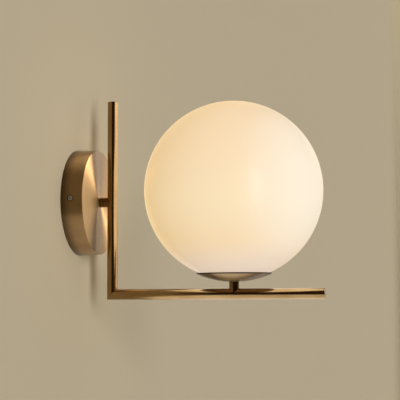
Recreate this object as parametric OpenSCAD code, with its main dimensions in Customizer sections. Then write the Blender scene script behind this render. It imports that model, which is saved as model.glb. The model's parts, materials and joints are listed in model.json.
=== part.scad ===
// Wall sconce: a mitred brass tube frame carries a dish, and an opal globe lifts off the dish.
// Millimetres. The origin is the centre of the canopy on the wall, +X points away from the wall
// and +Z points up. The tubes, the dish and the globe lie in the plane Y = 0.

/* [Canopy] */
// Diameter of the canopy at the wall
canopy_d = 122; // [116:1:140]
// How much smaller the canopy is across its front
canopy_draft = 2; // [0:0.5:4]
// Depth of the canopy
canopy_h = 25; // [24:0.5:40]
// Thickness of the pressed sheet
canopy_wall = 1; // [0.8:0.1:1.4]
// Radius of the pressed front edge
canopy_edge_r = 0.8; // [0.3:0.1:2]
// Distance of the side screws from the wall
side_screw_x = 11; // [8:0.5:14]
// Diameter of the side screws
side_screw_d = 5; // [3:0.5:6]
// Length of a side screw
side_screw_l = 9; // [6:0.5:14]
// Radial gap round a side screw in the canopy
side_screw_gap = 0.4; // [0.2:0.1:1]

/* [Tube frame] */
// Outside diameter of the upright and level tubes
tube_d = 12; // [11:0.5:16]
// Wall of the tubes
tube_wall = 1; // [0.8:0.1:1.5]
// Free length of the standoff between canopy and upright
standoff_l = 9; // [6:0.5:40]
// Height of the upright's top above the centre of the canopy
upright_top = 117; // [80:1:180]
// Depth of the level tube's axis below the centre of the canopy
level_drop = 106; // [90:1:140]
// Distance from the upright's axis to the globe's axis
arm_reach = 142; // [120:1:200]
// Length of the level tube past the globe's axis
arm_past = 100; // [20:1:130]
// Thickness of the flange on a tube cap
cap_flange = 1; // [0.6:0.1:2]
// Length of a tube cap's spigot
cap_spigot = 6; // [3:0.5:10]
// Bevel round a tube cap
cap_bevel = 0.3; // [0.1:0.1:0.5]
// Outside diameter of the standoff and the stem
collar_d = 11.5; // [11.2:0.1:11.8]
// Free height of the stem between level tube and dish
stem_h = 7.5; // [5:0.5:30]

/* [Threaded nipples and nuts] */
// Outside diameter of a nipple, M10
nipple_d = 10; // [10:0.1:10.4]
// Bore of a nipple
nipple_bore = 7; // [6.6:0.1:8]
// Thickness of a nut
nut_t = 3; // [2:0.5:4]
// Width of a nut across its flats
nut_af = 14; // [13:0.5:17]
// Diameter of a toothed washer
washer_d = 15; // [13:0.5:18]
// Thickness of a toothed washer
washer_t = 0.8; // [0.5:0.1:1.2]
// Length of the canopy nipple that shows behind its nut
nipple_proud = 3.2; // [1:0.1:5]

/* [Globe and dish] */
// Outside diameter of the globe
globe_d = 200; // [170:5:240]
// Thickness of the glass
globe_wall = 3; // [2:0.5:4]
// Diameter of the globe's mouth
mouth_d = 56; // [54:1:64]
// Width of the ground land round the mouth
mouth_land = 2.5; // [1.5:0.1:4]
// Outside diameter of the dish
dish_d = 84; // [76:1:120]
// Thickness of the dish
dish_wall = 1; // [0.8:0.1:1.5]
// Gap between the glass and the dish
dish_gap = 1.2; // [0.8:0.1:2]
// How far the gasket runs past the land on each side
gasket_lap = 0.5; // [0.2:0.1:1]

/* [Spring gallery] */
// Diameter of the gallery plate
gallery_d = 40; // [38:0.5:44]
// Thickness of the gallery plate
gallery_t = 0.8; // [0.6:0.1:1.5]
// Number of leaf springs
spring_count = 3; // [3:1:4]
// Width of a leaf spring
spring_w = 6; // [4:0.5:8]
// Thickness of a leaf spring
spring_t = 0.4; // [0.3:0.1:0.6]
// Gap between a spring and the glass
spring_gap = 0.3; // [0.1:0.1:0.6]
// Height of a spring above the mouth
spring_rise = 9; // [6:0.5:14]
// Diameter of a rivet
rivet_d = 2; // [1.5:0.1:2.5]

/* [Lampholder] */
// Diameter of the lampholder's base
holder_d = 25; // [25:0.5:28]
// Height of the base
holder_base_h = 12; // [12:0.5:16]
// Height of the body above the base
holder_body_h = 34; // [34:0.5:40]
// Depth of the terminal chamber under the body
chamber_h = 8; // [8:0.5:9]
// Thickness of the partition above the terminals
partition_t = 3; // [2:0.5:4]
// Height of the bulb's tip above the partition
tip_rise = 2.5; // [2:0.1:4]
// Thickness of the threaded sleeve
sleeve_t = 0.4; // [0.3:0.1:0.4]
// Diameter of a terminal
terminal_d = 5.6; // [5:0.1:6]
// Distance of a terminal from the axis
terminal_off = 5.8; // [5.6:0.1:5.9]

/* [Bulb] */
// Diameter of the bulb
bulb_d = 45; // [35:1:48]
// Length of the bulb above its cap
bulb_l = 57; // [50:1:70]
// Diameter of the screw cap, E14
cap_d = 13.9; // [13.7:0.1:14]
// Length of the screw cap
cap_l = 18.5; // [17:0.5:19]
// Wall of the plastic housing and of the envelope
bulb_wall = 1.2; // [0.8:0.1:1.6]

/* [Bracket and wiring] */
// Thickness of the bracket
bracket_t = 1.5; // [1.2:0.1:2]
// Width of the bracket's bar
bracket_w = 20; // [16:0.5:24]
// Width of the bent tabs
tab_w = 12; // [8:0.5:14]
// Height of the bent tabs off the wall
tab_h = 18; // [16:0.5:20]
// Gap between a tab and the canopy
tab_gap = 0.35; // [0.2:0.05:1]
// Spacing of the wall screw slots
slot_pitch = 80; // [76:1:84]
// Length of a wall screw slot, end to end
slot_l = 14; // [8:0.5:16]
// Width of a wall screw slot
slot_w = 5; // [4:0.5:6]
// Distance between poles of the terminal block
pole_pitch = 8; // [8:0.5:9]
// Length of the terminal block along its tunnels
block_l = 16; // [15:0.5:17]
// Height of the terminal block
block_h = 13; // [12:0.5:14]
// Distance from the bracket's centre to the terminal block
block_y = 14; // [13:0.5:15]
// Diameter of an insulated lead
lead_d = 2.2; // [1.8:0.1:2.4]
// Distance of the earth screw from the bracket's centre
earth_y = 20; // [16:0.5:24]
// Diameter of the earth screw
earth_d = 4; // [3:0.5:5]

/* [Hidden] */
$fn = 96;

// Radial clearance of a pin, thread or spigot in its hole
fit = 0.03;
// Gap between pieces that move apart
seat_gap = 0.1;
// How far a cutting solid runs past what it cuts
past = 1;

brass = [0.62, 0.48, 0.28];
steel = [0.72, 0.73, 0.74];
porcelain = [0.93, 0.92, 0.88];
opal = [0.97, 0.9, 0.76];
plastic = [0.94, 0.94, 0.93];

// Places along X
upright_x = canopy_h + standoff_l + tube_d / 2;
globe_x = upright_x + arm_reach;
level_end = globe_x + arm_past;

// Places along Z, from the level tube upwards
level_z = -level_drop;
dish_z = level_z + tube_d / 2 + stem_h;
dish_flat_r = washer_d / 2 + 0.5;
dish_in_r = globe_d / 2 + dish_gap;
dish_out_r = dish_in_r + dish_wall;
globe_z = dish_z + sqrt(pow(dish_out_r, 2) - pow(dish_flat_r, 2));
floor_z = dish_z + dish_wall;
plate_z = floor_z + washer_t + nut_t;
holder_z = plate_z + gallery_t;
body_z = holder_z + holder_base_h;
holder_top = body_z + holder_body_h;

// The mouth of the globe
mouth_r = mouth_d / 2;
land_r = mouth_r + mouth_land;
land_z = globe_z - sqrt(pow(globe_d / 2, 2) - pow(land_r, 2));
lip_z = globe_z - sqrt(pow(globe_d / 2 - globe_wall, 2) - pow(mouth_r, 2));

// Nipples
nipple_hole_d = nipple_d + 2 * fit;
nipple_x1 = upright_x - tube_d / 2 - 0.5;
nipple_x0 = canopy_h - canopy_wall - washer_t - nut_t - nipple_proud;
stem_nipple_z0 = level_z + tube_d / 2 + 0.5;
base_floor_t = 6;
stem_nipple_z1 = holder_z + base_floor_t;
wire_hole_d = nipple_bore;

// Canopy and bracket
canopy_r = canopy_d / 2;
canopy_slope = canopy_draft / 2 / canopy_h;
tab_y = sqrt(pow(canopy_r - canopy_slope * tab_h - canopy_wall, 2) - pow(tab_w / 2, 2)) - tab_gap;
bend_r = 2;
bar_l = 2 * (tab_y - bend_r - 6);
side_screw_out = canopy_r - canopy_slope * side_screw_x - 0.4;

// Terminal block
insert_d = 4;
insert_bore = 2.8;
insert_l = block_l - 1;
pole_x = bracket_t + block_h / 2;
poles = [-pole_pitch, 0, pole_pitch];
well_d = 4.2;
well_y = 4;
clamp_d = 2.5;
clamp_head_d = 3.8;
hold_d = 3;
hold_head_d = 5;
lead_bite = 5;

// Earth screw, with its washer and tag under the head
star_t = 0.6;
tag_t = 0.8;
tag_d = earth_d + 4.5;
tag_barrel_d = lead_d + 1;
tag_barrel_l = 5;
tag_barrel_z = tag_d / 2 - 0.2;
earth_head_d = earth_d + 3.5;
earth_head_t = 2.4;

// Lampholder
holder_r = holder_d / 2;
body_r = holder_r - 0.5;
chamber_r = body_r - 2.2;
partition_z = body_z + chamber_h;
sleeve_in_r = cap_d / 2 + 0.05;
sleeve_r = sleeve_in_r + sleeve_t;
well_floor = partition_z + partition_t;
terminal_l = 7;
terminal_foot = partition_z - terminal_l;
terminal_bore = lead_d + 0.4;
terminal_bore_l = 5;
post_d = 3;
terminal_screw_d = 2.5;
strip_t = 0.4;
strip_w = 4;

// Bulb, which is screwed in until its tip meets the holder's contact
insulator_h = 1.5;
contact_d = 4.6;
contact_t = 1;
contact_z = well_floor + tip_rise;
cap_z = contact_z + contact_t + insulator_h;
cap_wall = 0.4;
bulb_z = cap_z + cap_l;
bulb_r = bulb_d / 2;
bulb_top = bulb_z + bulb_l;
envelope_z = bulb_top - bulb_r;
seam_z = envelope_z - 0.38 * bulb_r;
seam_r = sqrt(pow(bulb_r, 2) - pow(seam_z - envelope_z, 2));
collar_r = cap_d / 2 + 1.2;
collar_gap = 0.8;
board_t = 1.6;
board_gap = 0.6;

// The threaded sleeve ends below the holder's lip and below the bulb's collar
sleeve_z = contact_z + 0.9;
sleeve_top = min(holder_top, bulb_z) - 1;

// Springs
rivet_r = gallery_d / 2 - 3.2;
touch_z = (land_z + lip_z) / 2;
touch_r = mouth_r - spring_gap - spring_t / 2;

// Leads: where they come together before the nipple, run straight up to a clamp and spread to the terminals
lead_side = lead_d / 2 + 0.2;
lead_bend = 2;
lead_gather = 3;
lead_run = 8;
lead_rise = 4;
lead_entry = 1.5;
lead_spread = 3.1;

function unit(v) = v / norm(v);

// Points of an arc of radius r that rounds the corner b between a and c
function corner(a, b, c, r, n) =
    let (
        u = unit(a - b),
        v = unit(c - b),
        half = acos(u * v) / 2,
        o = b + unit(u + v) * r / sin(half),
        s = unit(b + u * r / tan(half) - o),
        e = unit(b + v * r / tan(half) - o),
        turn = 180 - 2 * half
    )
    [for (i = [0:n]) o + r * unit(s * sin((1 - i / n) * turn) + e * sin(i / n * turn))];

// A path with every inner corner rounded
function rounded(p, r, n) = [
    p[0],
    for (i = [1:len(p) - 2]) each corner(p[i - 1], p[i], p[i + 1], r, n),
    p[len(p) - 1]
];

// One side of a flat path, moved outwards by s
function side(p, s) = [
    for (i = [0:len(p) - 1])
        let (
            a = unit(p[max(i, 1)] - p[max(i, 1) - 1]),
            b = unit(p[min(i, len(p) - 2) + 1] - p[min(i, len(p) - 2)]),
            m = unit(a + b)
        )
        p[i] + s * [-m[1], m[0]] / (m * a)
];

// Points of a quarter round, from angle a0 to a1 about c
function arc(c, r, a0, a1, n = 6) = [
    for (i = [0:n]) c + r * [cos(a0 + (a1 - a0) * i / n), sin(a0 + (a1 - a0) * i / n)]
];

// The side and up directions carried along a path without twist
function carried(p, i, up) =
    i == len(p) ? [] :
    let (
        t = unit(p[min(i + 1, len(p) - 1)] - p[max(i - 1, 0)]),
        n = unit(up - (up * t) * t)
    )
    concat([[n, cross(t, n)]], carried(p, i + 1, n));

module along_x() {
    rotate([0, 90, 0]) children();
}

module along_y() {
    rotate([-90, 0, 0]) children();
}

module at_globe() {
    translate([globe_x, 0, 0]) children();
}

// A round bar with a bore right through
module ring(d, bore, h) {
    difference() {
        cylinder(d = d, h = h);
        translate([0, 0, -past]) cylinder(d = bore, h = h + 2 * past);
    }
}

// A strip of sheet bent along a flat path
module bent_strip(path, t, w) {
    linear_extrude(height = w, center = true)
        polygon(concat(side(path, t / 2), [for (i = [len(path) - 1:-1:0]) side(path, -t / 2)[i]]));
}

// An insulated lead along a path, as a tube of flat faces
module lead(path, up) {
    sides = 8;
    frames = carried(path, 0, up);
    last = len(path) - 1;
    polyhedron(
        points = [
            for (i = [0:last], k = [0:sides - 1])
                path[i] + lead_d / 2 * (cos(360 * k / sides) * frames[i][0]
                    + sin(360 * k / sides) * frames[i][1])
        ],
        faces = concat(
            [[for (k = [0:sides - 1]) k]],
            [[for (k = [sides - 1:-1:0]) last * sides + k]],
            [for (i = [0:last - 1], k = [0:sides - 1])
                [i * sides + k, (i + 1) * sides + k, (i + 1) * sides + (k + 1) % sides]],
            [for (i = [0:last - 1], k = [0:sides - 1])
                [i * sides + k, (i + 1) * sides + (k + 1) % sides, i * sides + (k + 1) % sides]]
        )
    );
}

// Everything on one side of the mitre: 1 is above it, -1 is below it
module mitre_side(which) {
    size = 4 * tube_d;
    translate([upright_x, 0, level_z])
        rotate([0, -45, 0])
            translate([-size / 2, -size / 2, which > 0 ? 0 : -size])
                cube(size);
}

module toothed_washer(d, bore, t) {
    teeth = 10;
    difference() {
        ring(d, bore, t);
        for (i = [0:teeth - 1])
            rotate(360 * i / teeth)
                translate([d / 2 - 1.2, -0.4, -past])
                    cube([3, 0.8, t + 2 * past]);
    }
}

module hex_nut() {
    difference() {
        cylinder(d = nut_af / cos(30), h = nut_t, $fn = 6);
        translate([0, 0, -past]) cylinder(d = nipple_hole_d, h = nut_t + 2 * past);
    }
}

// A turned cap: a flange as wide as the tube, on a spigot in its bore
module tube_cap() {
    r = tube_d / 2;
    spigot_r = r - tube_wall - fit;
    rotate_extrude()
        polygon([
            [0, -cap_spigot], [spigot_r - 0.5, -cap_spigot], [spigot_r, 0.5 - cap_spigot],
            [spigot_r, 0], [r, 0], [r, cap_flange - cap_bevel],
            [r - cap_bevel, cap_flange], [0, cap_flange]
        ]);
}

module wall_bracket() {
    mid_x = bracket_t / 2;
    end_y = tab_y - mid_x;
    path = rounded(
        [[tab_h, -end_y], [mid_x, -end_y], [mid_x, end_y], [tab_h, end_y]],
        bend_r - mid_x, 6
    );
    color(steel) difference() {
        union() {
            bent_strip(path, bracket_t, tab_w);
            translate([0, -bar_l / 2, -bracket_w / 2]) cube([bracket_t, bar_l, bracket_w]);
        }
        for (s = [-1, 1]) {
            translate([-past, s * slot_pitch / 2, 0]) wall_slot();
            translate([side_screw_x, s * (tab_y - bracket_t - past), 0])
                along_y() cylinder(d = side_screw_d + 2 * fit, h = 2 * (bracket_t + 2 * past), center = true);
        }
        translate([-past, -earth_y, 0])
            along_x() cylinder(d = earth_d + 2 * fit, h = bracket_t + 2 * past);
        translate([-past, block_y + block_l / 2, pole_pitch / 2])
            along_x() cylinder(d = hold_d + 2 * fit, h = bracket_t + 2 * past);
    }
}

// A slot along Y for a wall screw
module wall_slot() {
    depth = bracket_t + 2 * past;
    run = slot_l - slot_w;
    translate([0, -run / 2, -slot_w / 2]) cube([depth, run, slot_w]);
    for (s = [-1, 1])
        translate([0, s * run / 2, 0]) along_x() cylinder(d = slot_w, h = depth);
}

module earth_screw() {
    head_x = bracket_t + star_t + tag_t;
    color(brass) translate([0, -earth_y, 0]) along_x() difference() {
        union() {
            translate([0, 0, 0.1]) cylinder(d = earth_d, h = head_x + 0.1);
            translate([0, 0, head_x]) cylinder(d = earth_head_d, h = earth_head_t);
        }
        translate([-earth_head_d / 2 - past, -0.5, head_x + earth_head_t - 1])
            cube([earth_head_d + 2 * past, 1, 2]);
    }
}

module earth_washer() {
    color(steel) translate([bracket_t, -earth_y, 0])
        along_x() toothed_washer(earth_d + 4, earth_d + 2 * fit, star_t);
}

module earth_tag() {
    color(steel) translate([bracket_t + star_t, -earth_y, 0]) {
        along_x() ring(tag_d, earth_d + 2 * fit, tag_t);
        translate([tag_barrel_d / 2, 0, tag_barrel_z])
            ring(tag_barrel_d, lead_d + 2 * fit, tag_barrel_l);
    }
}

module earth_lead() {
    x0 = bracket_t + star_t + tag_barrel_d / 2;
    rise = tag_barrel_z + tag_barrel_l + lead_rise;
    path = rounded(
        [
            [x0, -earth_y, tag_barrel_z + tag_barrel_l / 2],
            [x0, -earth_y, rise],
            [pole_x, lead_rise - earth_y, rise + 0.75 * lead_rise],
            [pole_x, block_y - lead_run, pole_pitch],
            [pole_x, block_y + lead_bite, pole_pitch]
        ],
        lead_bend, 4
    );
    color("yellowgreen") lead(path, [1, 0, 0]);
}

module terminal_block() {
    height = 3 * pole_pitch;
    step = 2.5;
    shoulder = block_h * 0.6;
    color(plastic) difference() {
        translate([bracket_t, block_y, 0])
            linear_extrude(height = height, center = true)
                polygon([
                    [0, 0], [shoulder, 0], [block_h - 1, step - 1], [block_h, step],
                    [block_h, block_l - step], [block_h - 1, block_l - step + 1],
                    [shoulder, block_l], [0, block_l]
                ]);
        for (z = poles) {
            translate([pole_x, block_y - past, z])
                along_y() cylinder(d = insert_d + 2 * fit, h = block_l + 2 * past);
            for (y = [well_y, block_l - well_y])
                translate([pole_x, block_y + y, z])
                    along_x() cylinder(d = well_d, h = block_h);
        }
        for (z = [-pole_pitch / 2, pole_pitch / 2])
            for (y = [0, block_l])
                translate([bracket_t - past, block_y + y - 1.5, z - 0.5])
                    cube([block_h + 2 * past, 3, 1]);
        translate([0, block_y + block_l / 2, pole_pitch / 2])
            along_x() cylinder(d = hold_d + 2 * fit, h = block_h + 5);
    }
}

module terminal_inserts() {
    color(brass) for (z = poles)
        difference() {
            translate([pole_x, block_y + 0.5, z]) along_y() ring(insert_d, insert_bore, insert_l);
            for (y = [well_y, block_l - well_y])
                translate([pole_x, block_y + y, z])
                    along_x() cylinder(d = clamp_d + 2 * fit, h = insert_d);
        }
}

module terminal_screws() {
    tip = max(lead_d, insert_bore - 0.4) / 2 + 0.1;
    color(steel) for (z = poles, y = [well_y, block_l - well_y])
        translate([pole_x, block_y + y, z]) along_x() {
            translate([0, 0, tip]) cylinder(d = clamp_d, h = insert_d / 2 + 1 - tip);
            translate([0, 0, insert_d / 2 + 1]) difference() {
                cylinder(d = clamp_head_d, h = 2);
                translate([-clamp_head_d, -0.3, 1.3]) cube([2 * clamp_head_d, 0.6, 1]);
            }
        }
}

module block_screw() {
    top = bracket_t + block_h;
    color(steel) translate([0, block_y + block_l / 2, pole_pitch / 2]) along_x() difference() {
        union() {
            translate([0, 0, 0.1]) cylinder(d = hold_d, h = top);
            translate([0, 0, top]) cylinder(d = hold_head_d, h = 1.8);
        }
        translate([-hold_head_d, -0.4, top + 0.9]) cube([2 * hold_head_d, 0.8, 2]);
    }
}

module canopy() {
    front_r = canopy_r - canopy_draft / 2;
    inner_h = canopy_h - canopy_wall;
    color(brass) difference() {
        along_x() rotate_extrude() polygon(concat(
            [[canopy_r - canopy_wall, 0], [canopy_r, 0]],
            arc([front_r - canopy_edge_r, canopy_h - canopy_edge_r], canopy_edge_r, 0, 90),
            [
                [nipple_d / 2 + 0.2, canopy_h], [nipple_d / 2 + 0.2, inner_h],
                [canopy_r - canopy_wall - canopy_slope * inner_h, inner_h]
            ]
        ));
        for (s = [-1, 1])
            translate([side_screw_x, s * canopy_r, 0])
                along_y() cylinder(d = side_screw_d + 2 * side_screw_gap, h = 10, center = true);
    }
}

// Set screws, with a hex socket, in the tabs and through the rim
module canopy_screws() {
    socket = side_screw_d * 0.5;
    color(steel) for (s = [0, 180])
        rotate([s, 0, 0]) translate([side_screw_x, side_screw_out, 0])
            rotate([90, 0, 0]) difference() {
                cylinder(d = side_screw_d, h = side_screw_l);
                translate([0, 0, -past]) cylinder(d = socket / cos(30), h = past + 2.5, $fn = 6);
            }
}

module canopy_nipple() {
    color(brass) translate([nipple_x0, 0, 0])
        along_x() ring(nipple_d, nipple_bore, nipple_x1 - nipple_x0);
}

module canopy_washer() {
    color(steel) translate([canopy_h - canopy_wall - washer_t, 0, 0])
        along_x() toothed_washer(washer_d, nipple_hole_d, washer_t);
}

module canopy_nut() {
    color(brass) translate([canopy_h - canopy_wall - washer_t - nut_t, 0, 0]) along_x() hex_nut();
}

// The round end is coped to sit on the upright tube
module standoff() {
    color(brass) difference() {
        translate([canopy_h, 0, 0]) along_x() ring(collar_d, nipple_hole_d, upright_x - canopy_h);
        translate([upright_x, 0, -collar_d]) cylinder(d = tube_d, h = 2 * collar_d);
    }
}

module upright_tube() {
    foot = level_z - tube_d / 2;
    color(brass) difference() {
        translate([upright_x, 0, foot])
            ring(tube_d, tube_d - 2 * tube_wall, upright_top - cap_flange - foot);
        mitre_side(-1);
        translate([upright_x - tube_d, 0, 0]) along_x() cylinder(d = wire_hole_d, h = tube_d);
    }
}

module upright_cap() {
    color(brass) translate([upright_x, 0, upright_top - cap_flange]) tube_cap();
}

module level_tube() {
    start = upright_x - tube_d / 2;
    color(brass) difference() {
        translate([start, 0, level_z])
            along_x() ring(tube_d, tube_d - 2 * tube_wall, level_end - cap_flange - start);
        mitre_side(1);
        at_globe() translate([0, 0, level_z]) cylinder(d = wire_hole_d, h = tube_d);
    }
}

module level_cap() {
    color(brass) translate([level_end - cap_flange, 0, level_z]) along_x() tube_cap();
}

// The foot is coped to sit on the level tube
module stem() {
    color(brass) difference() {
        at_globe() translate([0, 0, level_z]) ring(collar_d, nipple_hole_d, dish_z - level_z);
        translate([globe_x - collar_d, 0, level_z]) along_x() cylinder(d = tube_d, h = 2 * collar_d);
    }
}

module stem_nipple() {
    color(brass) at_globe() translate([0, 0, stem_nipple_z0])
        ring(nipple_d, nipple_bore, stem_nipple_z1 - stem_nipple_z0);
}

// A spun saucer, concentric with the globe, with a flat seat in its middle and a rounded rim
module dish() {
    rim_r = (dish_d - dish_wall) / 2;
    mid_r = (dish_in_r + dish_out_r) / 2;
    rim_z = globe_z - sqrt(pow(mid_r, 2) - pow(rim_r, 2));
    color(brass) at_globe() difference() {
        union() {
            intersection() {
                translate([0, 0, globe_z]) sphere(r = dish_out_r);
                translate([0, 0, dish_z]) cylinder(r = rim_r, h = globe_z - dish_z);
            }
            translate([0, 0, rim_z]) rotate_extrude() translate([rim_r, 0]) circle(d = dish_wall, $fn = 32);
        }
        intersection() {
            translate([0, 0, globe_z]) sphere(r = dish_in_r);
            translate([0, 0, floor_z]) cylinder(r = dish_d, h = globe_d);
        }
        translate([0, 0, dish_z - past]) cylinder(d = nipple_d + 0.4, h = dish_wall + 2 * past);
    }
}

module dish_washer() {
    color(steel) at_globe() translate([0, 0, floor_z])
        toothed_washer(washer_d, nipple_hole_d, washer_t);
}

module dish_nut() {
    color(brass) at_globe() translate([0, 0, floor_z + washer_t]) hex_nut();
}

// A silicone ring, flat on top for the glass and curved below to lie in the dish
module gasket() {
    color("gainsboro") at_globe() intersection() {
        translate([0, 0, dish_z])
            difference() {
                cylinder(r = land_r + gasket_lap, h = land_z - seat_gap - dish_z);
                translate([0, 0, -past]) cylinder(r = mouth_r + gasket_lap, h = globe_d);
            }
        translate([0, 0, globe_z]) sphere(r = dish_in_r - seat_gap, $fn = 240);
    }
}

module gallery_plate() {
    color(steel) at_globe() translate([0, 0, plate_z]) difference() {
        ring(gallery_d, nipple_hole_d, gallery_t);
        at_springs() translate([rivet_r, 0, -past])
            cylinder(d = rivet_d + 2 * fit, h = gallery_t + 2 * past);
    }
}

module at_springs() {
    for (i = [0:spring_count - 1]) rotate(180 + 360 * i / spring_count) children();
}

// Leaf springs that press outwards on the wall of the mouth
module gallery_springs() {
    foot_z = holder_z + spring_t / 2;
    path = rounded(
        [
            [rivet_r - 2.5, foot_z], [rivet_r + 2.6, foot_z],
            [touch_r + 0.25, touch_z], [touch_r - 3, lip_z + spring_rise]
        ],
        1, 4
    );
    color(steel) at_globe() at_springs() difference() {
        rotate([90, 0, 0]) bent_strip(path, spring_t, spring_w);
        translate([rivet_r, 0, holder_z - past])
            cylinder(d = rivet_d + 2 * fit, h = spring_t + 2 * past);
    }
}

module gallery_rivets() {
    head_d = 1.8 * rivet_d;
    color(steel) at_globe() at_springs() translate([rivet_r, 0, 0]) {
        translate([0, 0, plate_z]) cylinder(d = rivet_d, h = gallery_t + spring_t);
        translate([0, 0, plate_z - 0.6]) cylinder(d = head_d, h = 0.6);
        translate([0, 0, holder_z + spring_t]) cylinder(d = head_d, h = 0.8);
    }
}

module holder_base() {
    socket_r = body_r - 1.2;
    color(porcelain) at_globe() translate([0, 0, holder_z]) rotate_extrude() polygon([
        [nipple_hole_d / 2, 0], [holder_r - 1.5, 0], [holder_r, 1.5],
        [holder_r, holder_base_h], [socket_r, holder_base_h],
        [socket_r, base_floor_t], [nipple_hole_d / 2, base_floor_t]
    ]);
}

// The part that the bulb screws into. A taller one opens wider above, round the bulb's collar
module holder_body() {
    lip = 1;
    neck_z = partition_z - body_z;
    color(porcelain) at_globe() difference() {
        translate([0, 0, body_z]) rotate_extrude() polygon([
            [0, 0], [holder_r, 0], [holder_r, neck_z - 2], [body_r, neck_z],
            [body_r, holder_body_h - lip], [body_r - lip, holder_body_h], [0, holder_body_h]
        ]);
        translate([0, 0, body_z - past]) cylinder(r = chamber_r, h = chamber_h + past);
        translate([0, 0, well_floor]) cylinder(r = sleeve_r + fit, h = holder_body_h);
        translate([0, 0, bulb_z - seat_gap]) cylinder(r = collar_r + collar_gap, h = holder_body_h);
        for (s = [-1, 1])
            translate([0, s * terminal_off, partition_z - past])
                cylinder(d = post_d + 2 * fit, h = partition_t + 2 * past);
    }
}

module holder_sleeve() {
    color(brass) at_globe() translate([0, 0, sleeve_z])
        ring(2 * sleeve_r, 2 * sleeve_in_r, sleeve_top - sleeve_z);
}

// A bent tongue that the bulb's tip rests over
module holder_contact() {
    base = well_floor + strip_t / 2;
    top = contact_z - 0.3 - strip_t / 2;
    path = rounded(
        [
            [-terminal_off - 1.3, base], [2 - terminal_off, base], [-1.6, top],
            [1.2, top], [2.4, top - 0.9]
        ],
        0.5, 3
    );
    color(brass) at_globe() difference() {
        rotate([90, 0, 90]) bent_strip(path, strip_t, strip_w);
        translate([0, -terminal_off, well_floor - past])
            cylinder(d = post_d + 2 * fit, h = strip_t + 2 * past);
    }
}

// Two brass terminals: one post ends at the sleeve and the other at the centre contact
module holder_terminals() {
    tops = [well_floor + strip_t, sleeve_z];
    color(brass) at_globe() for (i = [0, 1])
        translate([0, (2 * i - 1) * terminal_off, partition_z]) difference() {
            union() {
                translate([0, 0, -terminal_l]) cylinder(d = terminal_d, h = terminal_l);
                cylinder(d = post_d, h = tops[i] - partition_z);
            }
            translate([0, 0, -terminal_l - past]) cylinder(d = terminal_bore, h = terminal_bore_l + past);
            translate([0, 0, terminal_bore_l / 2 - terminal_l])
                along_x() cylinder(d = terminal_screw_d + 2 * fit, h = terminal_d);
        }
}

module holder_terminal_screws() {
    tip = terminal_bore / 2 + 0.05;
    head = terminal_d / 2 + 0.8;
    color(steel) at_globe() for (s = [-1, 1])
        translate([0, s * terminal_off, terminal_foot + terminal_bore_l / 2]) along_x() {
            translate([0, 0, tip]) cylinder(d = terminal_screw_d, h = head - tip);
            translate([0, 0, head]) cylinder(d = 3.8, h = 1.4);
        }
}

// Live and neutral run from the terminal block, through the frame, to the lampholder
module frame_lead(s) {
    pole_z = s < 0 ? -pole_pitch : 0;
    path = rounded(
        [
            [pole_x, block_y + lead_bite, pole_z],
            [pole_x, block_y - lead_run, pole_z],
            [nipple_x0 - lead_gather, s * lead_side, 0],
            [upright_x, s * lead_side, 0],
            [upright_x, s * lead_side, level_z],
            [globe_x, s * lead_side, level_z],
            [globe_x, s * lead_side, terminal_foot - lead_entry - lead_spread],
            [globe_x, s * terminal_off, terminal_foot - lead_entry],
            [globe_x, s * terminal_off, terminal_foot + 0.8 * terminal_bore_l]
        ],
        lead_bend, 4
    );
    lead(path, [0, 0, 1]);
}

module live_lead() {
    color("saddlebrown") frame_lead(-1);
}

module neutral_lead() {
    color("steelblue") frame_lead(1);
}

module globe() {
    color(opal) at_globe() difference() {
        translate([0, 0, globe_z]) sphere(d = globe_d);
        translate([0, 0, globe_z]) sphere(d = globe_d - 2 * globe_wall);
        translate([0, 0, globe_z - globe_d]) cylinder(d = mouth_d, h = globe_d);
        translate([0, 0, land_z - globe_d]) cylinder(d = globe_d, h = globe_d);
    }
}

module bulb_envelope() {
    color(opal) at_globe() difference() {
        translate([0, 0, envelope_z]) sphere(d = bulb_d);
        translate([0, 0, envelope_z]) sphere(d = bulb_d - 2 * bulb_wall);
        translate([0, 0, seam_z - bulb_d]) cylinder(d = 2 * bulb_d, h = bulb_d);
    }
}

// The collar swells in a soft S from the screw cap to the envelope's seam
module bulb_housing() {
    swell = seam_r - collar_r;
    rise = seam_z - bulb_z;
    shares = [[0, 0], [0, 0.12], [0.08, 0.27], [0.32, 0.5], [0.92, 0.8], [1, 1]];
    outer = rounded([for (s = shares) [collar_r + s[0] * swell, bulb_z + s[1] * rise]], 0.3 * rise, 3);
    color(plastic) at_globe() rotate_extrude() polygon(concat(
        outer,
        [for (i = [len(outer) - 1:-1:0]) outer[i] - [bulb_wall, 0]]
    ));
}

module bulb_cap() {
    color(steel) at_globe() translate([0, 0, cap_z]) ring(cap_d, cap_d - 2 * cap_wall, cap_l);
}

module bulb_insulator() {
    r = cap_d / 2 - cap_wall;
    color("black") at_globe() translate([0, 0, cap_z - insulator_h]) rotate_extrude() polygon([
        [0, 0], [contact_d / 2 + 0.6, 0], [r, insulator_h], [r, insulator_h + 2], [0, insulator_h + 2]
    ]);
}

module bulb_contact() {
    color(steel) at_globe() translate([0, 0, contact_z]) cylinder(d = contact_d, h = contact_t);
}

module bulb_led_board() {
    color(steel) at_globe() translate([0, 0, seam_z - board_t])
        cylinder(r = seam_r - bulb_wall - board_gap, h = board_t);
}

// Stands upright on the middle plane, from the screw cap to the LED board
module bulb_driver_board() {
    w = 2 * (collar_r - bulb_wall - board_gap);
    z0 = bulb_z + board_gap;
    color("darkgreen") translate([globe_x - w / 2, -board_t / 2, z0])
        cube([w, board_t, seam_z - board_t - z0]);
}

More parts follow.
